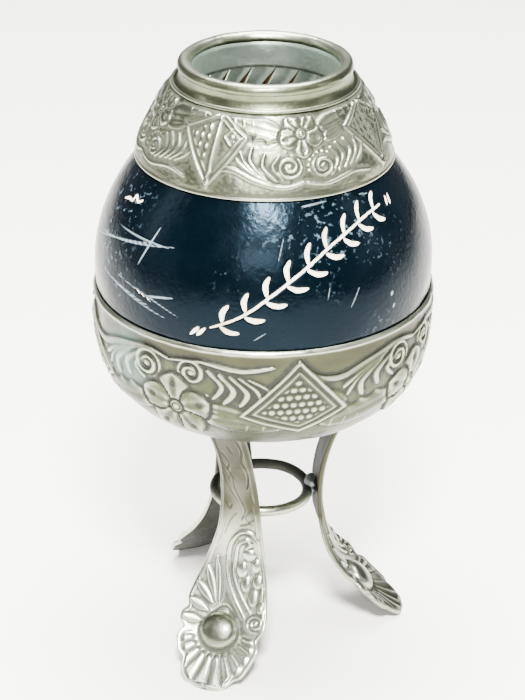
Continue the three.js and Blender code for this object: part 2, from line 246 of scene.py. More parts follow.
def surface(name, grids, slot, node_names, look, start="open", end="open", loop=False, **values):
    """A closed skin from one or more grids of points in mm: rows by columns, or several like
    copies of that. The columns close on themselves, and so do the rows if loop is set. An end
    called 'pole' is closed by a fan to its middle. Faces point to the right of the rows'
    direction. values become attributes of the points."""
    places, quads, fans, total = [], [], [], 0
    grids = grids if isinstance(grids, list) else [grids]
    loops = loop if isinstance(loop, list) else [loop] * len(grids)
    for points, closed in zip(grids, loops):
        points = points.reshape((-1,) + points.shape[-3:])
        copies, rows, columns = points.shape[:3]
        number = total + np.arange(copies * rows * columns).reshape(copies, rows, columns)
        number = np.concatenate([number, number[:, :, :1]], 2)
        if closed:
            number = np.concatenate([number, number[:, :1]], 1)
        corner = [number[:, :-1, :-1], number[:, :-1, 1:], number[:, 1:, 1:], number[:, 1:, :-1]]
        quads.append(np.stack(corner, -1).reshape(-1, 4))
        places.append(points.reshape(-1, 3))
        total += points.size // 3
        for which, row in ((start, 0), (end, rows - 1)):
            if which == "pole" and not closed:
                middle = np.repeat(total + np.arange(copies), columns)
                places.append(points[:, row].mean(1))
                total += copies
                ring, following = number[:, row, :-1].ravel(), number[:, row, 1:].ravel()
                pair = (following, ring) if row == 0 else (ring, following)
                fans.append(np.stack([middle, *pair], -1))
    places, quads = np.concatenate(places) / 1000, np.concatenate(quads)
    fans = np.concatenate(fans) if fans else np.zeros((0, 3), int)
    mesh = bpy.data.meshes.new(name)
    mesh.vertices.add(len(places))
    mesh.vertices.foreach_set("co", places.ravel())
    corners = np.concatenate([quads.ravel(), fans.ravel()])
    mesh.loops.add(len(corners))
    mesh.loops.foreach_set("vertex_index", corners)
    mesh.polygons.add(len(quads) + len(fans))
    firsts = [np.arange(len(quads)) * 4, len(quads) * 4 + np.arange(len(fans)) * 3]
    mesh.polygons.foreach_set("loop_start", np.concatenate(firsts))
    mesh.polygons.foreach_set("use_smooth", np.ones(len(quads) + len(fans), bool))
    mesh.update(calc_edges=True)
    for key, value in values.items():
        full = np.full(len(places), value if np.isscalar(value) else 0, np.float32)
        if not np.isscalar(value):
            full[:value.size] = value.ravel()
        mesh.attributes.new(key, "FLOAT", "POINT").data.foreach_set("value", full)
    mesh.materials.append(look)
    piece = show(name, mesh)
    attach(piece, "root")
    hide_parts(*node_names)
    return piece


# the columns stand closer together on the carved side
gourd_azimuth = np.concatenate([
    np.linspace(-CARVED_SIDE, CARVED_SIDE, CARVED_COLUMNS, False),
    np.linspace(CARVED_SIDE, 360 - CARVED_SIDE, PLAIN_COLUMNS, False),
])
quarter = np.linspace(0, math.pi / 2, 16)[1:]
rise = np.linspace(0, 1, 96)[1:]
belly_r = GOURD_RADIUS * np.sin(quarter) ** BELLY_FULLNESS
belly_z = BOWL_EDGE - (BOWL_EDGE - GOURD_LOW) * np.cos(quarter) ** BELLY_FULLNESS
side_r = (GOURD_RADIUS - GOURD_SHOULDER * rise ** SHOULDER_FULLNESS
          + GOURD_SWELL * rise * (1 - rise) ** 2)
side_z = BOWL_EDGE + SHOULDER_RISE * rise
top = np.linspace(0, 1, 9)[1:]
top_r = side_r[-1] + (MOUTH_HOLE + MOUTH_ROUNDING - side_r[-1]) * top ** 1.35
top_z = COLLAR_EDGE + (MOUTH_TOP - COLLAR_EDGE) * top
outer_r = np.concatenate([belly_r, side_r, top_r])
outer_z = np.concatenate([belly_z, side_z, top_z])
# the hole's rounded edge, then every fifth point of the outside less the wall, down to the floor
inner_r = np.concatenate([
    [MOUTH_HOLE + 1.1, MOUTH_HOLE + 0.2, MOUTH_HOLE],
    (outer_r - GOURD_WALL)[-4:4:-5],
    [r for r, _ in INSIDE_FLOOR],
])
inner_z = np.concatenate([
    [MOUTH_TOP + 0.1, MOUTH_TOP - 0.4, MOUTH_TOP - 1.4],
    (outer_z - 1.2 * smooth(130, 146, outer_z))[-4:4:-5],
    [z for _, z in INSIDE_FLOOR],
])
gourd_r = np.concatenate([outer_r, inner_r])
gourd_z = np.concatenate([outer_z, inner_z])
outside = np.arange(len(gourd_r)) < len(outer_r)
height_on_gourd = profile_lengths(gourd_r, gourd_z)
height_on_gourd -= np.interp(BOWL_EDGE, outer_z, height_on_gourd[:len(outer_z)])
# marks are laid out flat: x round the gourd from its front, y up it from the bowl's edge
mark_x, mark_y = np.broadcast_arrays(MARK_RADIUS * np.radians(gourd_azimuth)[None],
                                     height_on_gourd[:, None])

# a carved spray: a stem that climbs round the gourd, with leaves cut on both sides of it
stem = np.array([(-11.5, 5.2), (-4.8, 8.6), (1.9, 13.9), (8.9, 19.2), (17.2, 24.6), (27.6, 28.8),
                 (35.6, 30.4)])
cut = np.full(mark_x.shape, MARK_REACH)


def carve(bends, half_width, even=0.25):
    """Adds a knife stroke to cut, the distance in mm from the nearest one's edge, below 0 inside.
    A stroke is widest in the middle, and even is its width at the ends as a share of that."""
    distance, along = nearest(mark_x, mark_y, bends, MARK_REACH)
    width = half_width * (even + (1 - even) * np.sin(np.pi * along) ** 0.7)
    np.minimum(cut, distance - width, out=cut)


carve(stem, STEM_HALF_WIDTH, even=0.7)
stem_length = profile_lengths(stem[:, 0], stem[:, 1])
for pair in range(LEAF_PAIRS):
    share = (pair + 0.35) / LEAF_PAIRS * stem_length[-1]
    foot = np.array([np.interp(share, stem_length, stem[:, k]) for k in (0, 1)])
    further = np.array([np.interp(share + 1, stem_length, stem[:, k]) for k in (0, 1)])
    ahead = (further - foot) / np.linalg.norm(further - foot)
    for side in (-1, 1):
        out = np.array([-ahead[1], ahead[0]]) * side
        start = foot + (1.0 if side > 0 else 0.0) * ahead + 0.5 * out
        reach = LEAF_LENGTH - 0.5 * abs(pair - 4) / 4
        middle = start + reach * (0.30 * ahead + 0.52 * out)
        tip = start + reach * (0.78 * ahead + 0.80 * out)
        carve([start, middle, tip], LEAF_HALF_WIDTH)
# two short strokes at each end of the spray, and a zigzag further round
for shift in (0.0, 1.5):
    carve([(-16.2 + shift, 2.6), (-14.2 + shift, 4.9)], 0.42)
    carve([(38.4 + shift, 29.2), (39.4 + shift, 31.6)], 0.40)
carve([(-46.9, 27.6), (-44.4, 28.4), (-42.4, 28.2)], 0.40, even=0.4)
carve([(-42.4, 28.2), (-41.9, 30.0), (-40.0, 29.0), (-38.2, 29.8)], 0.42, even=0.4)

# scratches from use: two bundles on the left, chips on the right and single hairlines between
scratch = np.full(mark_x.shape, MARK_REACH)
for bends, width in (
    ([(-52.3, 16.7), (-40, 19.0), (-21.8, 22.6)], 0.16),
    ([(-42.9, 21.8), (-24, 21.9)], 0.20),
    ([(-28.0, 26.1), (-31.9, 15.7)], 0.20),
    ([(-54.6, 14.9), (-43, 18.4), (-29.6, 21.6)], 0.16),
    ([(-45.7, 9.6), (-34, 7.6), (-22.3, 5.1)], 0.17),
    ([(-38.8, 10.8), (-28, 9.2), (-19.2, 6.4)], 0.15),
    ([(-45.1, 9.2), (-35, 8.2), (-26.9, 6.8)], 0.15),
    ([(-28.2, 9.1), (-20.8, 10.6)], 0.24),
    ([(31.6, 8.8), (32.0, 9.6)], 0.45),
    ([(32.2, 5.4), (32.6, 6.4)], 0.3),
    ([(10.6, 34.3), (13.5, 34.6), (18.4, 34.8)], 0.22),
    ([(30.0, 34.4), (33.0, 34.0)], 0.18),
    ([(-2.0, 2.6), (0.6, 4.6)], 0.10),
    ([(20.0, 9.0), (22.5, 13.5)], 0.10),
    ([(14.5, 12.0), (15.2, 15.0)], 0.09),
    ([(3.5, 22.0), (5.0, 27.5)], 0.09),
):
    distance, along = nearest(mark_x, mark_y, bends, MARK_REACH)
    np.minimum(scratch, distance - width * (0.4 + 0.6 * np.sin(np.pi * along)), out=scratch)
# a row of three nicks that go through the dye
for step in (0.0, 1.0, 2.0):
    carve([(-31.2 + 1.6 * step, 9.9 - 0.5 * step), (-29.9 + 1.6 * step, 9.0 - 0.5 * step)], 0.20)

# the rind's own lumps, with the strokes sunk into them; under the bowl's edge nothing stands proud
turn = gourd_azimuth[None] / 360
worn = 0.55 * grain(turn * 9, mark_y / 22, 3, 9) + 0.16 * grain(turn * 40, mark_y / 6, 4, 40)
lift = np.where(outside[:, None], worn - CUT_DEPTH * smooth(0.25, -0.35, cut)
                - SCRATCH_DEPTH * smooth(0.1, -0.15, scratch), 0.4 * worn)
lift = np.where((outside & (gourd_z < BOWL_EDGE + 0.5))[:, None], np.minimum(lift, 0.0), lift)

# Calabash rind under spirit dye and wax: a satin gloss, in clouds about 14 mm across, with pale
# specks of about 1 mm in patches where the wax has worn. Cuts show the dry, fibrous rind.
rind, tree, shader = material("dyed_calabash_rind", {"IOR": 1.22, "Specular IOR Level": 0.44,
                                                     "Specular Tint": "#a8cfec"})
place = add(tree, "ShaderNodeTexCoord").outputs["Object"]
clouds = add(tree, "ShaderNodeTexNoise", {"Vector": place, "Scale": 1000 / CLOUD_MM,
                                          "Detail": 4.0, "Roughness": 0.62}).outputs[0]
patches = add(tree, "ShaderNodeTexNoise", {"Vector": place, "Scale": 1000 / PATCH_MM,
                                           "Detail": 3.0}).outputs[0]
specks = add(tree, "ShaderNodeTexNoise", {"Vector": place, "Scale": 1000 / SPECK_MM,
                                          "Detail": 2.0}).outputs[0]
cloudy = add(tree, "ShaderNodeMapRange", {"Value": clouds, "From Min": 0.36, "From Max": 0.78})
colour = add(tree, "ShaderNodeMix", {0: cloudy.outputs[0], 6: DYE_DEEP, 7: DYE_PALE},
             data_type="RGBA").outputs[2]
# pale flecks of rubbed dye, only inside some of the patches
rubbed = add(tree, "ShaderNodeMapRange", {"Value": patches, "From Min": 0.54, "From Max": 0.66})
flecked = add(tree, "ShaderNodeMapRange", {"Value": specks, "From Min": 0.60, "From Max": 0.70})
fleck = add(tree, "ShaderNodeMath", {0: rubbed.outputs[0], 1: flecked.outputs[0]},
            operation="MULTIPLY")
fleck = add(tree, "ShaderNodeMath", {0: fleck.outputs[0], 1: 0.5}, operation="MULTIPLY").outputs[0]
colour = add(tree, "ShaderNodeMix", {0: fleck, 6: colour, 7: FLECK_COLOUR},
             data_type="RGBA").outputs[2]
# scratches and cuts: each attribute is a distance in mm, below zero inside the stroke
scratch_value = add(tree, "ShaderNodeAttribute", attribute_name="scratch").outputs["Fac"]
scratched = add(tree, "ShaderNodeMapRange", {"Value": scratch_value, "From Min": 0.10,
                                             "From Max": -0.10, "To Max": 0.62}).outputs[0]
colour = add(tree, "ShaderNodeMix", {0: scratched, 6: colour, 7: SCRATCH_COLOUR},
             data_type="RGBA").outputs[2]
cut_value = add(tree, "ShaderNodeAttribute", attribute_name="cut").outputs["Fac"]
ragged = add(tree, "ShaderNodeMath", {0: specks, 1: 0.34, 2: cut_value}, operation="MULTIPLY_ADD")
open_rind = add(tree, "ShaderNodeMapRange", {"Value": ragged.outputs[0], "From Min": 0.22,
                                             "From Max": 0.10}).outputs[0]
fibre = add(tree, "ShaderNodeMapRange", {"Value": clouds, "From Min": 0.55, "From Max": 0.78})
pale = add(tree, "ShaderNodeMix", {0: fibre.outputs[0], 6: RIND_COLOUR, 7: RIND_SHADE},
           data_type="RGBA").outputs[2]
colour = add(tree, "ShaderNodeMix", {0: open_rind, 6: colour, 7: pale}, data_type="RGBA").outputs[2]
# the inside of the gourd is bare, stained brown and dry
inner_value = add(tree, "ShaderNodeAttribute", attribute_name="inner").outputs["Fac"]
stained = add(tree, "ShaderNodeMix", {0: clouds, 6: INSIDE_DARK, 7: INSIDE_COLOUR},
              data_type="RGBA").outputs[2]
colour = add(tree, "ShaderNodeMix", {0: inner_value, 6: colour, 7: stained},
             data_type="RGBA").outputs[2]
tree.links.new(colour, shader.inputs["Base Color"])
dull = add(tree, "ShaderNodeMapRange", {"Value": clouds, "From Min": 0.35, "From Max": 0.7,
                                        "To Min": 0.17, "To Max": 0.28}).outputs[0]
dry = add(tree, "ShaderNodeMath", {0: open_rind, 1: inner_value}, operation="MAXIMUM").outputs[0]
dull = add(tree, "ShaderNodeMix", {0: dry, 2: dull, 3: 0.75}, data_type="FLOAT").outputs[0]
tree.links.new(dull, shader.inputs["Roughness"])
skin = add(tree, "ShaderNodeBump", {"Height": specks, "Strength": 0.25, "Distance": 0.0003})
skin = add(tree, "ShaderNodeBump", {"Height": clouds, "Strength": 0.16, "Distance": 0.0012,
                                    "Normal": skin.outputs[0]})
tree.links.new(skin.outputs[0], shader.inputs["Normal"])

surface("gourd", turned(gourd_r, gourd_z, gourd_azimuth, lift), "dyed_gourd", ["gourd_shell"], rind,
        start="pole", end="pole", cut=cut, scratch=scratch,
        inner=np.broadcast_to(~outside[:, None], cut.shape))


# ---- Base bowl -------------------------------------------------------------------------
# Thin nickel-silver sheet, stamped with a flower strip and spun into a bowl that the gourd
# stands in. The sheet's raw edge was burnished over; dirt has stayed dark in the hollows.
BOWL_RADIUS = 42.6
BOWL_LOW = 65.3
BOWL_SKIN = 0.5
BOWL_COLUMNS = 720
BOWL_PLAIN_FROM = 28
BOWL_FLOWER_AZIMUTH = -30
BOWL_MM_PER_DEGREE = 0.733
STRIP_HEIGHT = 19.9
BOWL_STRIP_HEIGHT, BOWL_STRIP_SIZE = 23.5, 1.42
COLLAR_MM_PER_DEGREE = 0.47
BIG_FLOWER, SCROLL_SHIFT, KITE_TURN = 1.22, -1.3, 3.3
PEBBLE_MM = 0.62
# sizes of the bloom's blotches, the clouds in the film and the grit of the polish
BLOTCH_MM, FILM_MM, GRIT_MM = 47.62, 20.83, 0.909
SILVER_CLEAN, SILVER_BRIGHT = "#474b38", "#bcc1ab"
SILVER_OLIVE = "#37372a"
# the grime colour is also the colour of painted shade
SILVER_TARNISH, SILVER_GRIME_AND_SHADE = "#323424", "#11130d"
VERDIGRIS = "#7d9c99"


def ridge(x, y, bends, width, height, swell=0.8):
    """Height of a raised line along a smooth curve: half round in section, and narrower towards
    both ends by the share swell."""
    distance, along = nearest(x, y, bends, width)
    half = 0.5 * width * (1 - swell + swell * np.sin(np.pi * along) ** 0.5)
    return height * np.sqrt(np.clip(1 - (distance / np.maximum(half, 1e-3)) ** 2, 0, 1))


def bead(x, y, middle, radius, height):
    """Height of a punched bead: half an ellipsoid."""
    away = ((x - middle[0]) ** 2 + (y - middle[1]) ** 2) / radius ** 2
    return height * np.sqrt(np.clip(1 - away, 0, 1))


def leaf(x, y, foot, tip, width, height, fullness=0.8, vein=0.35, teeth=0):
    """Height of a leaf or petal. Its half width follows a sine of the share of its length raised to
    fullness, so that below 1 it is widest near the foot and above 1 near the tip. A vein is sunk
    along the middle, and teeth are a ripple of its left edge, or its right edge if below 0."""
    dx, dy = tip[0] - foot[0], tip[1] - foot[1]
    length = math.hypot(dx, dy)
    along = ((x - foot[0]) * dx + (y - foot[1]) * dy) / length ** 2
    across = ((x - foot[0]) * dy - (y - foot[1]) * dx) / length
    share = np.clip(along, 0, 1)
    half = 0.5 * width * np.sin(np.pi * share ** fullness) ** 0.6
    if teeth:
        ripple = 0.24 * np.abs(np.sin(np.pi * teeth * share + 0.5 * across))
        half = half * (1 - ripple * smooth(-0.1, 0.5, -across * np.sign(teeth)))
    rounded = np.sqrt(np.clip(1 - (across / np.maximum(half, 1e-3)) ** 2, 0, 1))
    rounded = rounded * ((along > 0) & (along < 1))
    return height * rounded * (1 - vein * np.exp(-(across / (0.11 * width)) ** 2))


def scroll(x, y, middle, radius, hand, height):
    """Height of a coiled ridge round a bead: the distance from an even spiral of a turn and a half,
    wound to the left or the right by hand, half round in section."""
    dx, dy = (x - middle[0]) * hand, y - middle[1]
    away, angle = np.hypot(dx, dy), np.arctan2(dy, dx) / (2 * np.pi)
    off = away / (radius / 1.9) - angle
    off = np.abs(off - np.round(off))
    coil = height * np.sqrt(np.clip(1 - (off / 0.34) ** 2, 0, 1))
    coil = coil * (1 - smooth(0.96, 1.06, away / radius)) * smooth(0.22, 0.34, away / radius)
    return np.maximum(coil, bead(x, y, middle, 0.30 * radius, height))


def inside_kite(x, y, corners):
    """How far a point lies inside a convex outline, as the least distance to its sides."""
    inside = np.full(x.shape, 99.0)
    for (ax, ay), (bx, by) in zip(corners, corners[1:] + corners[:1]):
        size = math.hypot(bx - ax, by - ay)
        inside = np.minimum(inside, ((bx - ax) * (y - ay) - (by - ay) * (x - ax)) / size)
    return inside


def stamped_strip(azimuth, y, flower, mm_per_degree, strip_height, size, on_bowl):
    """Relief in mm of the flower strip. It repeats every 90 degrees: x is the distance round from
    the nearest flower, xk that from the nearest kite halfway between flowers, and y the distance
    from the strip's wide edge. Places are given for the collar's strip and stretched to this one;
    widths and heights grow by size. On the bowl the flower is bigger, its scrolls are further out,
    and the kite is turned a little and beaded all over; on the collar half of the kite is barred."""
    flower_size = size * (BIG_FLOWER if on_bowl else 1.0)
    scroll_out = SCROLL_SHIFT if on_bowl else 0.0
    kite_turn = KITE_TURN if on_bowl else 0.0
    sx, sy = mm_per_degree / COLLAR_MM_PER_DEGREE, strip_height / STRIP_HEIGHT
    x = ((azimuth - flower + 45) % 90 - 45) * mm_per_degree
    xk = ((azimuth - flower + kite_turn) % 90 - 45) * mm_per_degree
    x, xk, y = np.broadcast_arrays(x, xk, y)
    relief = np.zeros(x.shape)

    def put(value):
        """Raises the relief to a shape's height wherever that is higher."""
        np.maximum(relief, value, out=relief)

    def at(*places):
        """Places on the collar's strip, stretched to this one."""
        return [(px * sx, py * sy) for px, py in places]

    # the wave under the scrolls and the crescents that sweep up from it
    for bends, width in (
        (((-22.0, 3.6), (-19.4, 6.4), (-15.6, 7.0), (-11.0, 4.9), (-5.0, 3.2), (-0.6, 4.2)), 1.6),
        (((-0.6, 4.2), (4.5, 3.2), (11.0, 4.4), (16.0, 3.4)), 1.0),
        (((-11.8, 12.7), (-12.1, 9.2), (-8.2, 4.9)), 1.5),
        (((-8.9, 11.2), (-9.3, 8.0), (-6.2, 4.7)), 1.4),
        (((-15.4, 9.8), (-12.3, 6.9), (-7.0, 4.1)), 1.1),
        (((-14.6, 11.8), (-13.2, 8.8), (-10.0, 5.6)), 0.7),
        (((-5.6, 10.6), (-7.2, 8.0), (-5.0, 5.1)), 1.0),
        (((6.6, 11.4), (8.0, 8.2), (5.6, 4.9)), 1.0),
        (((8.3, 12.2), (9.8, 9.0), (7.4, 5.4)), 1.3),
        (((10.8, 12.6), (11.9, 9.4), (9.2, 5.8)), 1.1),
        (((14.0, 12.0), (13.4, 8.8), (10.6, 6.0)), 0.8),
        (((16.5, 10.4), (14.6, 8.0), (12.0, 6.2)), 0.6),
    ):
        put(ridge(x, y, at(*bends), width * size, 0.42 * size))

    # broad leaves from the flower out to the kites, a toothed one on each side
    for foot, tip, width, teeth, height in (
        ((-3.4, 15.0), (-18.8, 18.6), 6.2, 5, 0.55),
        ((3.6, 16.2), (18.4, 18.8), 5.0, -5, 0.50),
        ((5.2, 13.4), (12.6, 15.4), 3.0, 0, 0.42),
        ((-14.6, 13.4), (-18.6, 9.4), 2.0, 0, 0.34),
        ((15.2, 15.2), (18.8, 9.6), 2.2, 0, 0.34),
    ):
        foot, tip = at(foot, tip)
        put(leaf(x, y, foot, tip, width * size, height * size, fullness=0.85, vein=0.30,
                 teeth=teeth))
    for px in (-17.0, -14.6, -12.2, 11.6, 14.2, 16.6):
        top, low = at((px, 19.4), (px + 0.3, 17.4))
        put(ridge(x, y, [top, low], 0.8 * size, 0.55 * size))

    # two scrolls under the flower
    for px, py, radius, hand in ((-3.5 + scroll_out, 7.9 + scroll_out, 2.7, 1),
                                 (4.1 + 0.8 * scroll_out, 7.4 + scroll_out, 2.4, -1)):
        put(scroll(x, y, at((px, py))[0], radius * size, hand, 0.52 * size))
    # an arc of small beads round the second scroll
    cx, cy = at((4.1, 7.4))[0]
    for k in range(7):
        angle = math.radians(60 + 22 * k)
        put(bead(x, y, (cx + 3.3 * size * math.cos(angle), cy + 3.3 * size * math.sin(angle)),
                 0.36 * size, 0.3 * size))

    # the flower: five veined petals, each with a dimple, round a ringed bead
    cx, cy = at((0, 15.4))[0]
    for k in range(5):
        angle = math.radians(-90 + 72 * k)
        out = np.array([math.cos(angle), math.sin(angle)])
        foot = np.array([cx, cy]) + 0.8 * size * out
        tip = np.array([cx, cy]) + 5.7 * flower_size * out
        petal = leaf(x, y, foot, tip, 4.9 * flower_size, 0.66 * size, fullness=1.2, vein=0.30)
        moat = leaf(x, y, foot - 0.2 * size * out, tip + 0.5 * size * out, 5.9 * flower_size,
                    height=1.0, fullness=1.2, vein=0.0)
        relief *= 1 - 0.8 * ((moat > 0) & (petal <= 0))
        middle = np.array([cx, cy]) + 4.0 * flower_size * out
        away = (x - middle[0]) ** 2 + (y - middle[1]) ** 2
        petal -= 0.30 * size * np.exp(-away / (0.5 * size) ** 2) * (petal > 0.1)
        put(petal)
        put(bead(x, y, middle, 0.30 * size, 0.50 * size))
    away = np.hypot(x - cx, y - cy)
    relief *= 1 - 0.75 * np.exp(-((away - 1.35 * size) / (0.32 * size)) ** 2)
    put(0.55 * size * np.exp(-((away - 1.0 * size) / (0.22 * size)) ** 2))
    put(bead(x, y, (cx, cy), 0.75 * size, 0.75 * size))

    # the kite: a raised double border round rows of beads, or round bars, a spine and a small kite
    corners = at((0.6, 20.4), (-9.2, 15.1), (0.2, 2.0), (8.4, 14.6))
    inside = inside_kite(xk, y, corners)
    plate = smooth(-0.5 * size, 0.2 * size, inside)
    field = 0.16 * size + 0 * inside
    pitch = 1.45 * size
    row = np.round(y / pitch)
    column = np.round(xk / pitch - 0.5 * (row % 2)) + 0.5 * (row % 2)
    punched = 0.34 * size * np.sqrt(np.clip(
        1 - ((xk - column * pitch) ** 2 + (y - row * pitch) ** 2) / (0.47 * pitch) ** 2, 0, 1))
    if on_bowl:
        field = field + punched * smooth(2.1 * size, 2.5 * size, inside)
    else:
        bars = 0.34 * size * np.clip(np.cos(2 * np.pi * xk / (1.75 * size)), 0, 1) ** 0.6
        bars = bars * (0.55 + 0.45 * np.cos(2 * np.pi * y / (2.3 * size)))
        left = 1 - smooth(-0.9 * size, -0.3 * size, xk - 0.05 * y)
        field = field + bars * left * smooth(1.7 * size, 2.1 * size, inside)
        spine = ridge(xk, y, at((0.6, 19.6), (0.2, 3.0)), 1.1 * size, 0.55 * size, swell=0.2)
        corner = inside_kite(xk, y, at((4.6, 17.2), (1.9, 14.4), (4.4, 11.6), (7.4, 14.5)))
        field = np.maximum(field, spine)
        field = field + 0.28 * size * np.exp(-((corner - 0.3) / (0.3 * size)) ** 2)
        field = field + punched * smooth(0.8 * size, 1.1 * size, corner)
    field = field + 0.42 * size * np.exp(-((inside - 0.35 * size) / (0.34 * size)) ** 2)
    field = field + 0.26 * size * np.exp(-((inside - 1.55 * size) / (0.28 * size)) ** 2)
    relief = relief * (1 - plate) + field * plate
    # the struck ground between them is finely pebbled
    ground = 1 - smooth(0.02, 0.2, relief)
    pebbles = grain(azimuth * mm_per_degree / PEBBLE_MM, y / PEBBLE_MM, 11, 4096)
    return relief + 0.07 * ground * pebbles


def hollows(relief, reach_rows, reach_columns):
    """How deep each point lies under the average round it, from box averages along both ways."""
    mean = relief
    for axis, reach in ((0, reach_rows), (1, reach_columns)):
        steps = range(-reach, reach + 1)
        if axis:
            mean = sum(np.roll(mean, k, axis) for k in steps) / len(steps)
        else:
            padded = np.pad(mean, ((reach, reach), (0, 0)), mode="edge")
            mean = sum(padded[reach + k:reach + k + len(mean)] for k in steps) / len(steps)
    return mean - relief


def nickel_silver(name, clean, tarnish, roughness, grime_and_shade, green, olive=None):
    """Nickel silver: a warm grey alloy that tarnishes olive, blackens in hollows where polish never
    reaches, and shows bright on rubbed high spots; the bright spots are partly a painted highlight.
    grime and green set how much of the dark colour and of the blue-green bloom there is; the dark
    colour is grime in the hollows, and painted shade at the backs and tucked places some pieces
    mark. The hollow attribute is in mm below the surroundings, and on some pieces it also carries
    painted shade above zero and painted highlights below it. olive names an attribute that is 1
    where old brown-green tarnish has been left alone, and on the legs it also carries painted shade
    on the backs and a painted dark reflection on the bosses. The film lies in clouds of about 20 mm,
    the bloom in blotches of about 50 mm, and the grit that polish leaves is drawn 1 mm coarse, so
    that it shows."""
    made, tree, shader = material(name, {"Metallic": 1.0})
    place = add(tree, "ShaderNodeTexCoord").outputs["Object"]
    film = add(tree, "ShaderNodeTexNoise", {"Vector": place, "Scale": 1000 / FILM_MM,
                                            "Detail": 5.0, "Roughness": 0.6}).outputs[0]
    blotch = add(tree, "ShaderNodeTexNoise", {"Vector": place, "Scale": 1000 / BLOTCH_MM,
                                              "Detail": 2.0}).outputs[0]
    fine = add(tree, "ShaderNodeTexNoise", {"Vector": place, "Scale": 1000 / GRIT_MM,
                                            "Detail": 2.0}).outputs[0]
    hollow = add(tree, "ShaderNodeAttribute", attribute_name="hollow").outputs["Fac"]
    filmed = add(tree, "ShaderNodeMapRange", {"Value": film, "From Min": 0.38, "From Max": 0.66})
    colour = add(tree, "ShaderNodeMix", {0: filmed.outputs[0], 6: clean, 7: tarnish},
                 data_type="RGBA").outputs[2]
    # the tarnish attribute mixes in dark olive; on the legs it also carries painted shade and a
    # painted dark reflection
    if olive:
        olive_and_shade_share = add(tree, "ShaderNodeAttribute", attribute_name=olive).outputs["Fac"]
        colour = add(tree, "ShaderNodeMix", {0: olive_and_shade_share, 6: colour, 7: SILVER_OLIVE},
                     data_type="RGBA").outputs[2]
    # raised points are mixed towards the bright colour: partly rubbed metal, partly a painted
    # highlight
    rubbed = add(tree, "ShaderNodeMapRange", {"Value": hollow, "From Min": -0.04, "From Max": -0.26,
                                              "To Max": 0.55}).outputs[0]
    colour = add(tree, "ShaderNodeMix", {0: rubbed, 6: colour, 7: SILVER_BRIGHT},
                 data_type="RGBA").outputs[2]
    # hollows and the places that pieces mark for shade are mixed towards the dark colour: grime in the
    # hollows, painted shade at the other places
    packed = add(tree, "ShaderNodeMath", {0: fine, 1: 0.16, 2: hollow}, operation="MULTIPLY_ADD")
    dirt_and_shade = add(tree, "ShaderNodeMapRange", {"Value": packed.outputs[0], "From Min": 0.09,
                                            "From Max": 0.26, "To Max": grime_and_shade}).outputs[0]
    colour = add(tree, "ShaderNodeMix", {0: dirt_and_shade, 6: colour, 7: SILVER_GRIME_AND_SHADE},
                 data_type="RGBA").outputs[2]
    bloom = add(tree, "ShaderNodeMapRange", {"Value": blotch, "From Min": 0.60, "From Max": 0.72,
                                             "To Max": green}).outputs[0]
    colour = add(tree, "ShaderNodeMix", {0: bloom, 6: colour, 7: VERDIGRIS},
                 data_type="RGBA").outputs[2]
    tree.links.new(colour, shader.inputs["Base Color"])
    covered = add(tree, "ShaderNodeMath", {0: dirt_and_shade, 1: bloom}, operation="MAXIMUM").outputs[0]
    bare = add(tree, "ShaderNodeMapRange", {"Value": covered, "To Min": 1.0, "To Max": 0.35})
    tree.links.new(bare.outputs[0], shader.inputs["Metallic"])
    dull = add(tree, "ShaderNodeMapRange", {"Value": film, "From Min": 0.35, "From Max": 0.7,
                                            "To Min": roughness, "To Max": roughness + 0.16})
    dull = add(tree, "ShaderNodeMix", {0: covered, 2: dull.outputs[0], 3: 0.72}, data_type="FLOAT")
    tree.links.new(dull.outputs[0], shader.inputs["Roughness"])
    skin = add(tree, "ShaderNodeBump", {"Height": fine, "Strength": 0.22, "Distance": 0.0002})
    skin = add(tree, "ShaderNodeBump", {"Height": film, "Strength": 0.25, "Distance": 0.0012,
                                        "Normal": skin.outputs[0]})
    tree.links.new(skin.outputs[0], shader.inputs["Normal"])
    return made


quarter = np.linspace(0, math.pi / 2, 2000)
fine_r = BOWL_RADIUS * np.cos(quarter) ** BELLY_FULLNESS
fine_z = BOWL_EDGE - (BOWL_EDGE - BOWL_LOW) * np.sin(quarter) ** BELLY_FULLNESS
fine_r[-1] = 0
fine_length = profile_lengths(fine_r, fine_z)
# rows run from the middle of the underside up to the edge, and stand closest in the strip
down = np.concatenate([np.linspace(fine_length[-1] - 1, BOWL_PLAIN_FROM, 22, False),
                       np.linspace(BOWL_PLAIN_FROM, 0, 88)])
bowl_r = np.interp(down, fine_length, fine_r)
bowl_z = np.interp(down, fine_length, fine_z)
bowl_azimuth = np.linspace(-180, 180, BOWL_COLUMNS, False)
strip = stamped_strip(bowl_azimuth[None], down[:, None], BOWL_FLOWER_AZIMUTH, BOWL_MM_PER_DEGREE,
                      BOWL_STRIP_HEIGHT, size=BOWL_STRIP_SIZE, on_bowl=True)
fade = smooth(1.4, 2.6, down) * (1 - smooth(25.5, 28.5, down))
strip = strip * fade[:, None]
bowl_turn = bowl_azimuth[None] / 360
dents = 0.5 * grain(bowl_turn * 22, down[:, None] / 9, 21, 22) \
    + 0.22 * grain(bowl_turn * 60, down[:, None] / 4, 22, 60)
# the edge is a thin uneven bead, turned in at the very top
edge_bead = 0.28 * np.exp(-((down - 0.8) / 0.5) ** 2)[:, None] \
    * (1 + 0.9 * grain(bowl_turn * 110, down[:, None] / 0.8, 24, 110))
rolled = 0.42 * np.exp(-(down / 0.55) ** 2)[:, None]
bowl_lift = strip * 0.8 - 0.24 + dents * smooth(0.5, 4, down)[:, None] + edge_bead - rolled
bowl_hollow = hollows(strip, 3, 4) - 1.3 * edge_bead - rolled
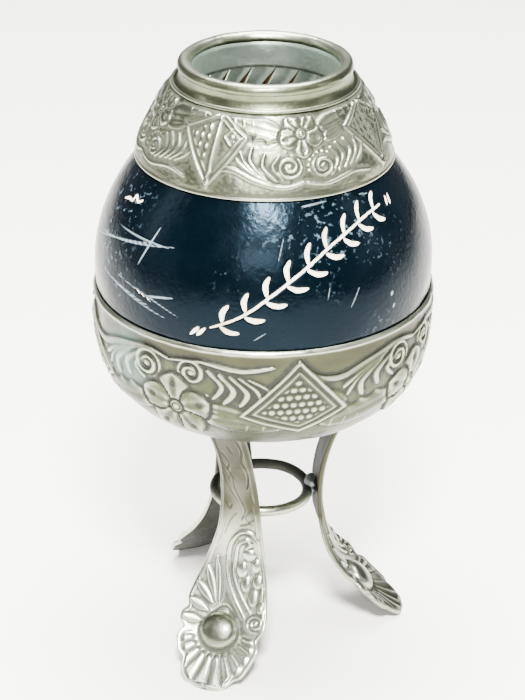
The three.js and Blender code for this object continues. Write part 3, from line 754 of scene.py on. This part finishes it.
# tarnish lies in a duller band under the edge, and thinly all over
bowl_olive = 0.85 * (smooth(7.0, 3.0, down) * smooth(0.9, 2.2, down))[:, None] \
    * (1 + grain(bowl_turn * 30, down[:, None] / 2.4, 23, 30)) + 0.12
# over the edge and down the inside
back = np.array([0.15, 1.2, 4, 10, 20, 32, 45, 60])
inner_r = np.interp(back, fine_length, fine_r)
inner_z = np.interp(back, fine_length, fine_z)
outer_points = turned(bowl_r, bowl_z, bowl_azimuth, bowl_lift)
# the sheet is thin, and its burnished edge leans in against the gourd
burnished = BOWL_SKIN + 0.36 * np.exp(-(back / 0.8) ** 2)[:, None]
inner_points = turned(inner_r[::-1], inner_z[::-1], bowl_azimuth, -burnished[::-1])[::-1]
plain_inside = np.zeros((len(back), BOWL_COLUMNS))
# Stamped and spun nickel silver, polished by hand: soft gloss, black hollows, and bright high spots
# that are partly a painted highlight.
bowl_look = nickel_silver("chased_nickel_silver", SILVER_CLEAN, SILVER_TARNISH, roughness=0.26,
                          grime_and_shade=0.92, green=0.35, olive="olive")
surface("base_bowl", np.concatenate([outer_points, inner_points]), "chased_nickel_silver",
        ["base_bowl"], bowl_look, start="pole", end="pole",
        hollow=np.concatenate([bowl_hollow, plain_inside]),
        olive=np.concatenate([bowl_olive, plain_inside]))


# ---- Legs ------------------------------------------------------------------------------
# Three legs cast flat from one pattern, then bent by hand: a stem with a scroll and grapes that
# ends in a fluted shell foot round a polished boss. The raised parts and the edges are buffed.
LEG_AZIMUTHS = {"front": -21, "right": 97, "rear": 210}
LEG_BENDS = (
    ((24.0, 67.5), (19.6, 58.7), (15.1, 49.99), (15.1, 38.9)),
    ((15.1, 38.9), (15.1, 19.06), (27.37, 6.22), (37.1, 0.6)),
    ((37.1, 0.6), (37.7, 0.15), (38.2, 0.15), (38.7, 0.30)),
)
# share of the length from the top, half width on the left, half width on the right
LEG_WIDTHS = ((0, 5.2, 4.0), (0.1, 4.4, 4.1), (0.2, 4.2, 4.2), (0.35, 4.8, 4.9), (0.45, 5.6, 5.7),
              (0.55, 7.9, 7.2), (0.65, 10.2, 9.2), (0.75, 11.4, 10.6), (0.84, 10.9, 10.4),
              (0.92, 8.9, 8.6), (0.96, 7.7, 7.5), (1, 7.2, 7.0))
LEG_HALF_THICK = 0.6
FOOT_CURL, STEM_CROWN, WIDEST_HALF = 1.7, -1.6, 11.4
TIP_ROUNDING = 5.0
BOSS_PLACE, BOSS_RADIUS, BOSS_HEIGHT = (15.9, -1.0), 4.9, 2.7
FLUTE_DEGREES = 15.0
EDGE_NOTCHES = (31, 87, -38, -84, -117)
FACE_COLUMNS, EDGE_COLUMNS, BACK_COLUMNS = 100, 5, 24
EDGE_BULGE = 0.45
# the bosses are painted darker as a painted dark reflection, and some feet are duller
BOSS_PAINTED_REFLECTION, FOOT_OLIVE = 0.65, {"front": 0.0, "right": 0.85, "rear": 0.3}

# the middle line seen from the side: three cubic Bezier curves of (radius, height), top to tip
t = np.linspace(0, 1, 300)[:, None]
runs = []
for a, b, c, d in LEG_BENDS:
    a, b, c, d = map(np.array, (a, b, c, d))
    runs.append(a * (1 - t) ** 3 + 3 * b * t * (1 - t) ** 2 + 3 * c * t ** 2 * (1 - t) + d * t ** 3)
spine = np.concatenate([runs[0], runs[1][1:], runs[2][1:]])
spine_length = profile_lengths(spine[:, 0], spine[:, 1])
LEG_LENGTH = spine_length[-1]
heading = np.gradient(spine, spine_length, axis=0)
heading /= np.linalg.norm(heading, axis=1)[:, None]

# a is the distance from the tip, w the distance to the right of the middle line. The widths are
# smoothed twice with a running mean, and the tip is rounded off.
rows = np.concatenate([np.linspace(0.02, 1.2, 10, False), np.linspace(1.2, 46, 200, False),
                       np.linspace(46, LEG_LENGTH, 80)])
share = 1 - rows / LEG_LENGTH
stations = np.array(LEG_WIDTHS)
rounding = np.sqrt(np.clip(1 - (1 - np.minimum(rows / TIP_ROUNDING, 1)) ** 2, 0, 1))
left = np.interp(share, stations[:, 0], stations[:, 1])
right = np.interp(share, stations[:, 0], stations[:, 2])
for _ in range(2):
    left = np.convolve(np.pad(left, 6, mode="edge"), np.ones(13) / 13, "valid")
    right = np.convolve(np.pad(right, 6, mode="edge"), np.ones(13) / 13, "valid")
left, right = (left * rounding)[:, None], (right * rounding)[:, None]
u = np.linspace(-1, 1, FACE_COLUMNS)[None]
face_w = np.where(u < 0, u * left, u * right)
face_a = rows[:, None] + 0 * face_w
face_edge = (1 - np.abs(u)) * np.where(u < 0, left, right)


def from_boss(a, w):
    """Distance and angle of a point from the boss: 0 degrees towards the tip, 90 to the right."""
    ahead, aside = BOSS_PLACE[0] - a, w - BOSS_PLACE[1]
    return np.hypot(ahead, aside), np.degrees(np.arctan2(aside, ahead))


def leg_relief(a, w, edge):
    """Relief in mm of a leg's face, and the boss's share of its full height at each point. edge is
    the distance from the nearer side."""
    away, angle = from_boss(a, w)
    relief = np.zeros(a.shape)

    def put(value):
        """Raises the relief to a shape's height wherever that is higher."""
        np.maximum(relief, value, out=relief)

    # the shell: rounded flutes that run from the boss to the edge of the toe
    flute = np.sqrt(np.abs(np.cos(np.pi * (angle + 4) / FLUTE_DEGREES)))
    toe = smooth(-78, -70, angle) * (1 - smooth(82, 90, angle))
    put(0.58 * flute * toe * smooth(5.9, 7.6, away) * smooth(0.5, 1.9, edge))
    # three long fingers to the upper left, and two short ones beside the boss
    for foot, tip, width in (
        ((22.6, -2.4), (35.5, -5.2), 2.0),
        ((22.8, -3.2), (32.4, -7.6), 2.3),
        ((22.4, -3.8), (28.0, -9.8), 2.5),
        ((20.4, -4.6), (22.9, -10.6), 2.9),
        ((17.6, -5.9), (18.0, -11.2), 3.0),
    ):
        put(leaf(a, w, foot, tip, width, height=0.62, fullness=1.25, vein=0.0))
    # the stem that comes down in two lines, turns over at the top and ends in small scrolls
    for bends, width, height in (
        (((41.2, 5.6), (43.4, 3.4), (42.8, 0.4), (38.6, -1.9), (32.1, -1.7), (26.3, 0.6),
          (20.6, 5.0)), 1.2, 0.55),
        (((40.9, 2.2), (39.6, 0.4), (35.8, -0.1), (31.4, 0.2), (26.6, 2.6), (22.0, 6.4)),
         1.0, 0.50),
        (((41.6, 2.4), (40.2, 3.7), (38.9, 2.4)), 1.3, 0.55),
        (((44, 6.0), (36, 8.4), (28, 10.1), (23, 9.9)), 0.7, 0.35),
        (((46.5, -3.9), (41, -5.2), (36, -7.4)), 0.6, 0.22),
    ):
        put(ridge(a, w, bends, width, height, swell=0.4))
    put(scroll(a, w, (19.6, 8.2), 2.3, -1, 0.6))
    # grapes in the bend of the stem: half ellipsoids
    for ca, cw, long, wide in (
        (33.0, 2.0, 2.2, 1.5),
        (34.6, 5.6, 1.9, 1.2),
        (29.4, 3.6, 2.2, 1.3),
        (30.6, 6.6, 2.0, 1.4),
        (26.2, 6.2, 2.4, 1.4),
        (27.4, 8.8, 2.0, 1.1),
        (37.2, 3.4, 1.7, 1.8),
        (23.6, 8.6, 1.4, 0.9),
    ):
        put(0.62 * np.sqrt(np.clip(1 - ((a - ca) / long) ** 2 - ((w - cw) / wide) ** 2, 0, 1)))
    # a raised rim along both sides
    put(0.30 * np.exp(-((edge - 0.55) / 0.40) ** 2) * smooth(14, 24, a))
    # engraved leaf strokes on the upper half
    for bends, width, depth in (
        (((77, 1.6), (72, 2.8), (67, 2.2), (62, 3.3), (57, 2.6)), 0.9, 0.30),
        (((70, -2.8), (66, -1.2), (63, -2.2)), 0.7, 0.20),
        (((73, -0.6), (70, 0.3)), 0.8, 0.18),
        (((66, -3.4), (61, -1.2), (56, -0.8), (50, 1.6), (46.5, 0.6)), 0.7, 0.22),
        (((62, -3.6), (57, -2.6), (52, 0.0)), 0.6, 0.18),
        (((52, -3.8), (49.5, -2.6), (51, -1.8)), 0.7, 0.22),
        (((50, 3.4), (47.6, 1.8), (45.6, 3.6)), 0.6, 0.18),
        (((48.6, -0.6), (46, -2.4), (42, -3.8)), 0.6, 0.18),
        (((55, 3.2), (52.6, 4.2), (49, 4.6)), 0.5, 0.15),
        (((47.5, 4.2), (45.8, 2.2), (45.0, 0.2)), 0.6, 0.2),
    ):
        relief -= ridge(a, w, bends, width, depth, swell=0.6)
    # the boss, in a groove that runs up to a point like a drop
    point = np.clip((a - BOSS_PLACE[0]) / 7.4, 0, 1)
    drop = np.hypot(BOSS_PLACE[0] - a, (w - BOSS_PLACE[1]) * (1 + 0.75 * point)) \
        - 1.5 * point * smooth(0, 1, point)
    relief *= smooth(5.3, 6.1, drop)
    relief -= 0.45 * np.exp(-((drop - 5.25) / 0.42) ** 2)
    dome = np.sqrt(np.clip(1 - (away / BOSS_RADIUS) ** 2, 0, 1))
    return np.where(away < BOSS_RADIUS, np.maximum(relief, BOSS_HEIGHT * dome), relief), dome


def scalloped(a, w, near_edge):
    """Moves a point of the toe outwards from the boss, less at the notches between the scallops,
    and the more the nearer it is to the edge."""
    away, angle = from_boss(a, w)
    push = 0.35 + 0 * angle
    for notch in EDGE_NOTCHES:
        push = push - 1.3 * np.exp(-((angle - notch) / 8.5) ** 2)
    push = push + 0.04 * np.cos(2 * np.pi * (angle + 4) / FLUTE_DEGREES)
    push = push * near_edge * (1 - smooth(22, 27, a))
    return a + push * (a - BOSS_PLACE[0]) / away, w + push * (w - BOSS_PLACE[1]) / away


def leg_points(azimuth, a, w, out):
    """Places of a leg's points: a along the bent middle line from the tip, w across it, and out
    along its normal, with the sides curled up at the foot and rolled back on the stem."""
    down = LEG_LENGTH - a
    past_tip = np.maximum(down - LEG_LENGTH, 0)
    r, z = (np.interp(down, spine_length, spine[:, k]) for k in (0, 1))
    along_r, along_z = (np.interp(down, spine_length, heading[:, k]) for k in (0, 1))
    foot = smooth(0.5, 0.8, down / LEG_LENGTH)
    out = out + w ** 2 * (FOOT_CURL * foot + STEM_CROWN * (1 - foot)) / WIDEST_HALF ** 2
    r = r + past_tip * along_r - along_z * out
    z = z + past_tip * along_z + along_r * out
    t = math.radians(azimuth)
    return np.stack([r * math.sin(t) + w * math.cos(t), -r * math.cos(t) + w * math.sin(t),
                     np.maximum(z, 0)], -1)


relief, dome = leg_relief(face_a, face_w, face_edge)
soften = smooth(0.0, 0.5, face_edge)
face_out = LEG_HALF_THICK + np.where(dome > 0, relief, relief * soften)
face_a, face_w = scalloped(face_a, face_w, smooth(5, 0, face_edge) ** 1.5)
# round the right edge, back along the plain hammered underside, and round the left edge
half_round = np.radians(np.linspace(62, -62, EDGE_COLUMNS))[None]
bulge = EDGE_BULGE * np.cos(half_round) * rounding[:, None]
edge_out = LEG_HALF_THICK * np.sin(half_round) + 0 * bulge
edge_rows = rows[:, None] + 0 * bulge
right_a, right_w = scalloped(edge_rows, right + bulge, 1.0)
left_a, left_w = scalloped(edge_rows, -left - bulge[:, ::-1], 1.0)
v = np.linspace(1, -1, BACK_COLUMNS)[None]
back_w = np.where(v < 0, v * left, v * right)
back_edge = (1 - np.abs(v)) * np.where(v < 0, left, right)
back_a, back_w = scalloped(rows[:, None] + 0 * back_w, back_w, smooth(5, 0, back_edge) ** 1.5)
back_out = -LEG_HALF_THICK + 0.35 * grain(back_a / 4, back_w / 4, 41)
leg_a = np.concatenate([face_a, right_a, back_a, left_a], 1)
leg_w = np.concatenate([face_w, right_w, back_w, left_w], 1)
leg_out = np.concatenate([face_out, edge_out, back_out, edge_out[:, ::-1]], 1)
face_hollow = hollows(np.where(dome > 0, LEG_HALF_THICK, relief), 4, 4)
edge_rub = -0.22 * smooth(46, 30, right_a)
# painted shade on the backs, heavier further up towards the bowl
back_painted_shade = 0.14 + 0.14 * smooth(30, 60, rows)[:, None] + 0 * back_a
leg_hollow = np.concatenate([face_hollow, edge_rub, back_painted_shade, edge_rub], 1)
# the stems keep their brown tarnish, the backs are painted nearly black as painted shade, and one foot
# is duller
leg_olive = 1.05 * smooth(38, 54, leg_a) * (1 + 0.4 * grain(leg_a / 7, leg_w / 4, 45))
back_from = FACE_COLUMNS + EDGE_COLUMNS
# painted shade: the backs take the full dark olive
leg_olive[:, back_from:back_from + BACK_COLUMNS] = 1.0
# the bosses take the darker value, a painted dark reflection
on_dome = np.zeros(leg_a.shape, bool)
on_dome[:, :FACE_COLUMNS] = dome > 0
# Cast nickel silver, buffed on a wheel: bright ridges and edges, partly a painted highlight, grey
# between them.
cast_silver = nickel_silver("cast_nickel_silver", "#adb19f", "#838773", roughness=0.25,
                            grime_and_shade=0.90, green=0.12, olive="olive")
for where, azimuth in LEG_AZIMUTHS.items():
    surface("leg_" + where, leg_points(azimuth, leg_a, leg_w, leg_out), "cast_nickel_silver",
            ["leg_" + where], cast_silver, start="pole", end="pole", hollow=leg_hollow,
            olive=np.where(on_dome, BOSS_PAINTED_REFLECTION, np.clip(leg_olive + FOOT_OLIVE[where], 0, 1)))


# ---- Tie ring --------------------------------------------------------------------------
# A ring of drawn nickel-silver wire inside the legs, soldered to each. It is painted dark towards
# the back, as painted shade, and keeps the plain metal colour at the front.
RING_RADIUS, RING_WIRE, RING_HEIGHT = 12.2, 1.4, 38.9
RING_COLUMNS, RING_TUBE = 240, 24


def wire_ring(radius, height, wire, columns, tube, wobble, seed):
    """Points of a wire bent to a ring: a small circle of tube points carried round a large one of
    columns points, whose radius and height wander by wobble."""
    azimuth = np.linspace(-180, 180, columns, False)[None]
    phi = np.linspace(0, 2 * math.pi, tube, False)[:, None]
    out = radius + wobble * grain(azimuth / 360 * 12, 0 * azimuth, seed, 12)
    up = height + wobble * grain(azimuth / 360 * 8, 0 * azimuth, seed + 1, 8)
    thick = wire * (1 + 0.08 * wobble * grain(azimuth / 360 * 40, phi, seed + 2, 40))
    r, t = out + thick * np.cos(phi), np.radians(azimuth)
    return np.stack([r * np.sin(t), -r * np.cos(t), up + thick * np.sin(phi)], -1)


# Drawn nickel-silver wire: smooth and glossy, with painted shade darkening it towards the back.
ring_look = nickel_silver("tarnished_wire_silver", "#a3a691", "#6c705c", roughness=0.24,
                          grime_and_shade=0.95, green=0.2)
ring_azimuth = np.linspace(-180, 180, RING_COLUMNS, False)
# painted shade: the dark colour grows from the sides to the back of the ring
ring_hollow = 0.24 * smooth(40, 100, abs(ring_azimuth))[None] + np.zeros((RING_TUBE, 1))
ring_points = wire_ring(RING_RADIUS, RING_HEIGHT, RING_WIRE, RING_COLUMNS, RING_TUBE,
                        wobble=0.5, seed=51)
surface("stand_ring", ring_points, "polished_nickel_silver", ["stand_ring"], ring_look, loop=True,
        hollow=ring_hollow)


# ---- Solder ----------------------------------------------------------------------------
# Soft tin solder, run in with an iron where the legs meet the bowl and where the ring meets the
# legs. It sets in dull, lumpy blobs, greyer than the silver.
SOLDER_DARK, SOLDER_PALE = "#4c5351", "#a6adaa"
FROST_MM = 2.381
# place (from the axis, above the floor) and half widths (outwards, round, up) of each blob
LEG_BLOB = (19.8, 65.1), (2.0, 3.3, 1.7)
RING_BLOB = (13.2, RING_HEIGHT), (1.75, 3.3, 2.7)

# Tin solder, set from the melt: a grey skin, frosted in patches of about 2 mm.
solder_look, tree, shader = material("soft_solder", {"Metallic": 1.0})
place = add(tree, "ShaderNodeTexCoord").outputs["Object"]
frost = add(tree, "ShaderNodeTexNoise", {"Vector": place, "Scale": 1000 / FROST_MM,
                                         "Detail": 4.0}).outputs[0]
colour = add(tree, "ShaderNodeMix", {0: frost, 6: SOLDER_DARK, 7: SOLDER_PALE}, data_type="RGBA")
tree.links.new(colour.outputs[2], shader.inputs["Base Color"])
dull = add(tree, "ShaderNodeMapRange", {"Value": frost, "From Min": 0.3, "From Max": 0.7,
                                        "To Min": 0.38, "To Max": 0.62})
tree.links.new(dull.outputs[0], shader.inputs["Roughness"])
skin = add(tree, "ShaderNodeBump", {"Height": frost, "Strength": 0.5, "Distance": 0.0005})
tree.links.new(skin.outputs[0], shader.inputs["Normal"])


def blob(azimuth, middle, half, seed):
    """Points of a lump: an ellipsoid of those half widths, swollen and pinched by a smooth random
    field, turned to stand at that azimuth."""
    latitude = np.radians(np.linspace(-84, 84, 22))[:, None]
    longitude = np.linspace(0, 360, 36, False)[None]
    lump = 1 + 0.30 * grain(longitude / 360 * 6, latitude * 2.4, seed, 6) \
        + 0.14 * grain(longitude / 360 * 14, latitude * 6, seed + 1, 14)
    angle = np.radians(longitude)
    out = middle[0] + half[0] * lump * np.cos(latitude) * np.sin(angle)
    round_it = -half[1] * lump * np.cos(latitude) * np.cos(angle)
    up = middle[1] + half[2] * lump * np.sin(latitude)
    t = math.radians(azimuth)
    return np.stack([out * math.sin(t) - round_it * math.cos(t),
                     -out * math.cos(t) - round_it * math.sin(t), up], -1)


for seed, (where, azimuth) in enumerate(LEG_AZIMUTHS.items()):
    surface("leg_solder_" + where, blob(azimuth, *LEG_BLOB, seed=60 + seed), "soft_solder",
            ["leg_solder_" + where], solder_look, start="pole", end="pole")
    surface("ring_solder_" + where, blob(azimuth, *RING_BLOB, seed=70 + seed), "soft_solder",
            ["ring_solder_" + where], solder_look, start="pole", end="pole")


# ---- Collar ----------------------------------------------------------------------------
# The same stamped strip, drawn narrower at the top and pressed down over the gourd's shoulder.
# Its lower edge was cut with shears and lies bare, thin and bright on the gourd.
COLLAR_RADIUS = 31.7
COLLAR_INDRAW = 8.9
COLLAR_SWEEP = 1.45
COLLAR_HEIGHT = 17.6
COLLAR_SKIN = 0.5
COLLAR_COLUMNS = 720
COLLAR_FLOWER_AZIMUTH = 19
TUCKED_R, TUCKED_Z = (22.4, 21.7), (151.5, 151.6)

share = np.linspace(0, 1, 1000)
fine_r = COLLAR_RADIUS - COLLAR_INDRAW * share ** COLLAR_SWEEP
fine_z = COLLAR_EDGE + COLLAR_HEIGHT * share
fine_length = profile_lengths(fine_r, fine_z)
up = np.linspace(0, fine_length[-1], 92)
# the top edge is tucked in under the neck
collar_r = np.append(np.interp(up, fine_length, fine_r), TUCKED_R)
collar_z = np.append(np.interp(up, fine_length, fine_z), TUCKED_Z)
up = np.append(up, (up[-1] + 0.4, up[-1] + 1.0))
collar_azimuth = np.linspace(-180, 180, COLLAR_COLUMNS, False)
strip = stamped_strip(collar_azimuth[None], up[:, None], COLLAR_FLOWER_AZIMUTH,
                      COLLAR_MM_PER_DEGREE, STRIP_HEIGHT, size=1.0, on_bowl=False)
strip = strip * (smooth(1.0, 1.8, up) * (1 - smooth(18.9, 19.8, up)))[:, None]
collar_turn = collar_azimuth[None] / 360
dents = 0.42 * grain(collar_turn * 20, up[:, None] / 7, 31, 20) \
    + 0.2 * grain(collar_turn * 56, up[:, None] / 3.4, 32, 56)
edge_bead = 0.2 * np.exp(-((up - 0.35) / 0.3) ** 2)[:, None]
collar_lift = strip - 0.14 + dents * smooth(0.3, 3, up)[:, None] + edge_bead
collar_hollow = hollows(strip, 4, 4) - 1.5 * edge_bead
back = np.array([0.0, 3, 8, 14, fine_length[-1]])[::-1]
inner_r = np.interp(back, fine_length, fine_r)
inner_z = np.interp(back, fine_length, fine_z)
outer_points = turned(collar_r, collar_z, collar_azimuth, collar_lift)
inner_points = turned(inner_r[::-1], inner_z[::-1], collar_azimuth, -COLLAR_SKIN)[::-1]
# The same sheet as the bowl's, handled more: paler, and greener in its blotches.
collar_look = nickel_silver("chased_collar_silver", "#858974", "#5b5e4a", roughness=0.24,
                            grime_and_shade=0.92, green=0.40)
surface("collar_skirt", np.concatenate([outer_points, inner_points]), "chased_nickel_silver",
        ["collar_skirt"], collar_look, loop=True,
        hollow=np.concatenate([collar_hollow, np.zeros((len(back), COLLAR_COLUMNS))]))


# ---- Neck and lip ----------------------------------------------------------------------
# A fine wire covers the joint over the collar, a little brighter all over, partly rubbed and
# partly a painted highlight. A plain band rises from it to the lip, which is a rolled tube of the
# same silver, dented here and there and bright on top, partly rubbed and partly a painted highlight.
BEAD_RADIUS, BEAD_WIRE, BEAD_HEIGHT, BEAD_RUB_AND_HIGHLIGHT = 22.3, 0.5, 152.0, -0.12
NECK_RADIUS, NECK_FLARE, NECK_TURNOUT = 20.72, 1.35, 0.22
NECK_FOOT, NECK_HEIGHT, NECK_SKIN = 151.5, 4.0, 0.6
LIP_RADIUS, LIP_WIRE, LIP_HEIGHT = 19.5, 1.6, 156.05
NECK_COLUMNS, BEAD_TUBE, LIP_TUBE = 300, 12, 40

# Smooth nickel silver under a thin film: a soft gloss, brighter where it is rubbed and where a
# highlight is painted on.
lip_silver = nickel_silver("polished_nickel_silver", "#6c705a", "#4e513d", roughness=0.27,
                           grime_and_shade=0.8, green=0.12)
bead_points = wire_ring(BEAD_RADIUS, BEAD_HEIGHT, BEAD_WIRE, NECK_COLUMNS, BEAD_TUBE,
                        wobble=0.12, seed=81)
# the bead wire is made a little brighter all over: partly rubbed, partly a painted highlight
surface("neck_bead_wire", bead_points, "polished_nickel_silver", ["neck_bead_wire"], lip_silver,
        loop=True, hollow=BEAD_RUB_AND_HIGHLIGHT)

# the band flares at its foot, by a power of the height, and turns out again a little at the top
neck_azimuth = np.linspace(-180, 180, NECK_COLUMNS, False)
rise = np.linspace(0, 1, 18)
neck_r = NECK_RADIUS + NECK_FLARE * (1 - rise) ** 2.6 + NECK_TURNOUT * smooth(0.6, 1.0, rise)
neck_z = NECK_FOOT + NECK_HEIGHT * rise
band_r = np.concatenate([neck_r, neck_r[::-1] - NECK_SKIN])
band_z = np.concatenate([neck_z, neck_z[::-1]])
dings = 0.22 * grain(neck_azimuth[None] / 360 * 26, band_z[:, None] / 3, 83, 26)
surface("neck_band", turned(band_r, band_z, neck_azimuth, dings), "polished_nickel_silver",
        ["neck_band"], lip_silver, loop=True, hollow=0.0)

phi = np.linspace(0, 2 * math.pi, LIP_TUBE, False)
lip_r = LIP_RADIUS + LIP_WIRE * np.cos(phi)
lip_z = LIP_HEIGHT + LIP_WIRE * np.sin(phi)
dings = 0.16 * grain(neck_azimuth[None] / 360 * 22, phi[:, None], 84, 22) \
    + 0.08 * grain(neck_azimuth[None] / 360 * 50, phi[:, None] * 2, 85, 50)
# the top of the lip is brighter, and its high spots most: partly rubbed by mouths and hands, partly a
# painted highlight
lip_hollow = -0.34 * smooth(0.05, 0.95, np.sin(phi - 0.6))[:, None] * (1 + 0.5 * dings / 0.16)
surface("mouth_lip_ring", turned(lip_r, lip_z, neck_azimuth, dings), "polished_nickel_silver",
        ["mouth_lip_ring"], lip_silver, loop=True, hollow=lip_hollow)


# ---- Liner -----------------------------------------------------------------------------
# A sheet sleeve that drops into the mouth. Its lower edge was snipped into tabs, each twisted a
# little like a louvre and pressed back on the gourd, so that brown rind shows between them.
LINER_RADIUS, LINER_SKIN, LINER_LEAN = 17.9, 0.6, 0.5
LINER_TOP, LINER_FOOT = 156.3, 148.9
TAB_COUNT, TAB_DROP, TAB_TWIST, TAB_FLARE = 19, 8.4, 0.34, 1.5
TAB_SKIN, TAB_LIFT, TAB_COLUMNS = 0.35, 1.5, 12

# Thin nickel-silver sheet, never polished: matt, and pale green where it stays damp.
liner_look = nickel_silver("tarnished_liner_silver", "#c4d4c6", "#9cac9e", roughness=0.36,
                           grime_and_shade=0.5, green=0.35)
wall_z = np.linspace(LINER_TOP, LINER_FOOT, 12)
# the wall's top leans out into the lip
wall_r = LINER_RADIUS + LINER_LEAN * smooth(154.9, 156.0, wall_z)
band_r = np.concatenate([wall_r, wall_r[::-1] + LINER_SKIN])
band_z = np.concatenate([wall_z, wall_z[::-1]])
dings = 0.2 * grain(neck_azimuth[None] / 360 * 24, band_z[:, None] / 3, 91, 24)
wall = turned(band_r, band_z, neck_azimuth, dings)

# tabs by rows down by points round: across the front face, then back across the rear one
down = np.linspace(0, 1, 16)[None, :, None]
pitch = 2 * math.pi / TAB_COUNT
u = np.linspace(0, 1, TAB_COLUMNS)
u = np.concatenate([u, u[::-1]])[None, None]
front = (np.arange(2 * TAB_COLUMNS) < TAB_COLUMNS)[None, None]
start_angle = pitch * np.arange(TAB_COUNT)[:, None, None]
twist = np.random.default_rng(92).uniform(0.75, 1.25, TAB_COUNT)[:, None, None]
angle = start_angle + TAB_TWIST * down + pitch * (1.0 - 0.40 * down) * u
tab_r = LINER_RADIUS + 0.1 + TAB_FLARE * down - TAB_LIFT * twist * smooth(0, 0.8, down) * u ** 1.6 \
    + np.where(front, 0, TAB_SKIN)
tab_z = LINER_FOOT + 0.3 - TAB_DROP * down * (1 - 0.10 * u) + 0 * angle
tabs = np.stack([tab_r * np.sin(angle), -tab_r * np.cos(angle), tab_z], -1)
# each tab is painted darker where it dips behind the next, as painted shade, and brighter along its
# cut edge, partly bare metal and partly a painted highlight
tab_hollow = 0.16 * smooth(0.45, 0.0, u) - 0.32 * smooth(0.80, 0.96, u) + np.zeros(tabs.shape[:3])
surface("mouth_liner", [wall, tabs], "dark_nickel_silver", ["mouth_liner"], liner_look,
        loop=[True, False], start="pole", end="pole",
        hollow=np.concatenate([np.zeros(wall.size // 3), tab_hollow.ravel()]))
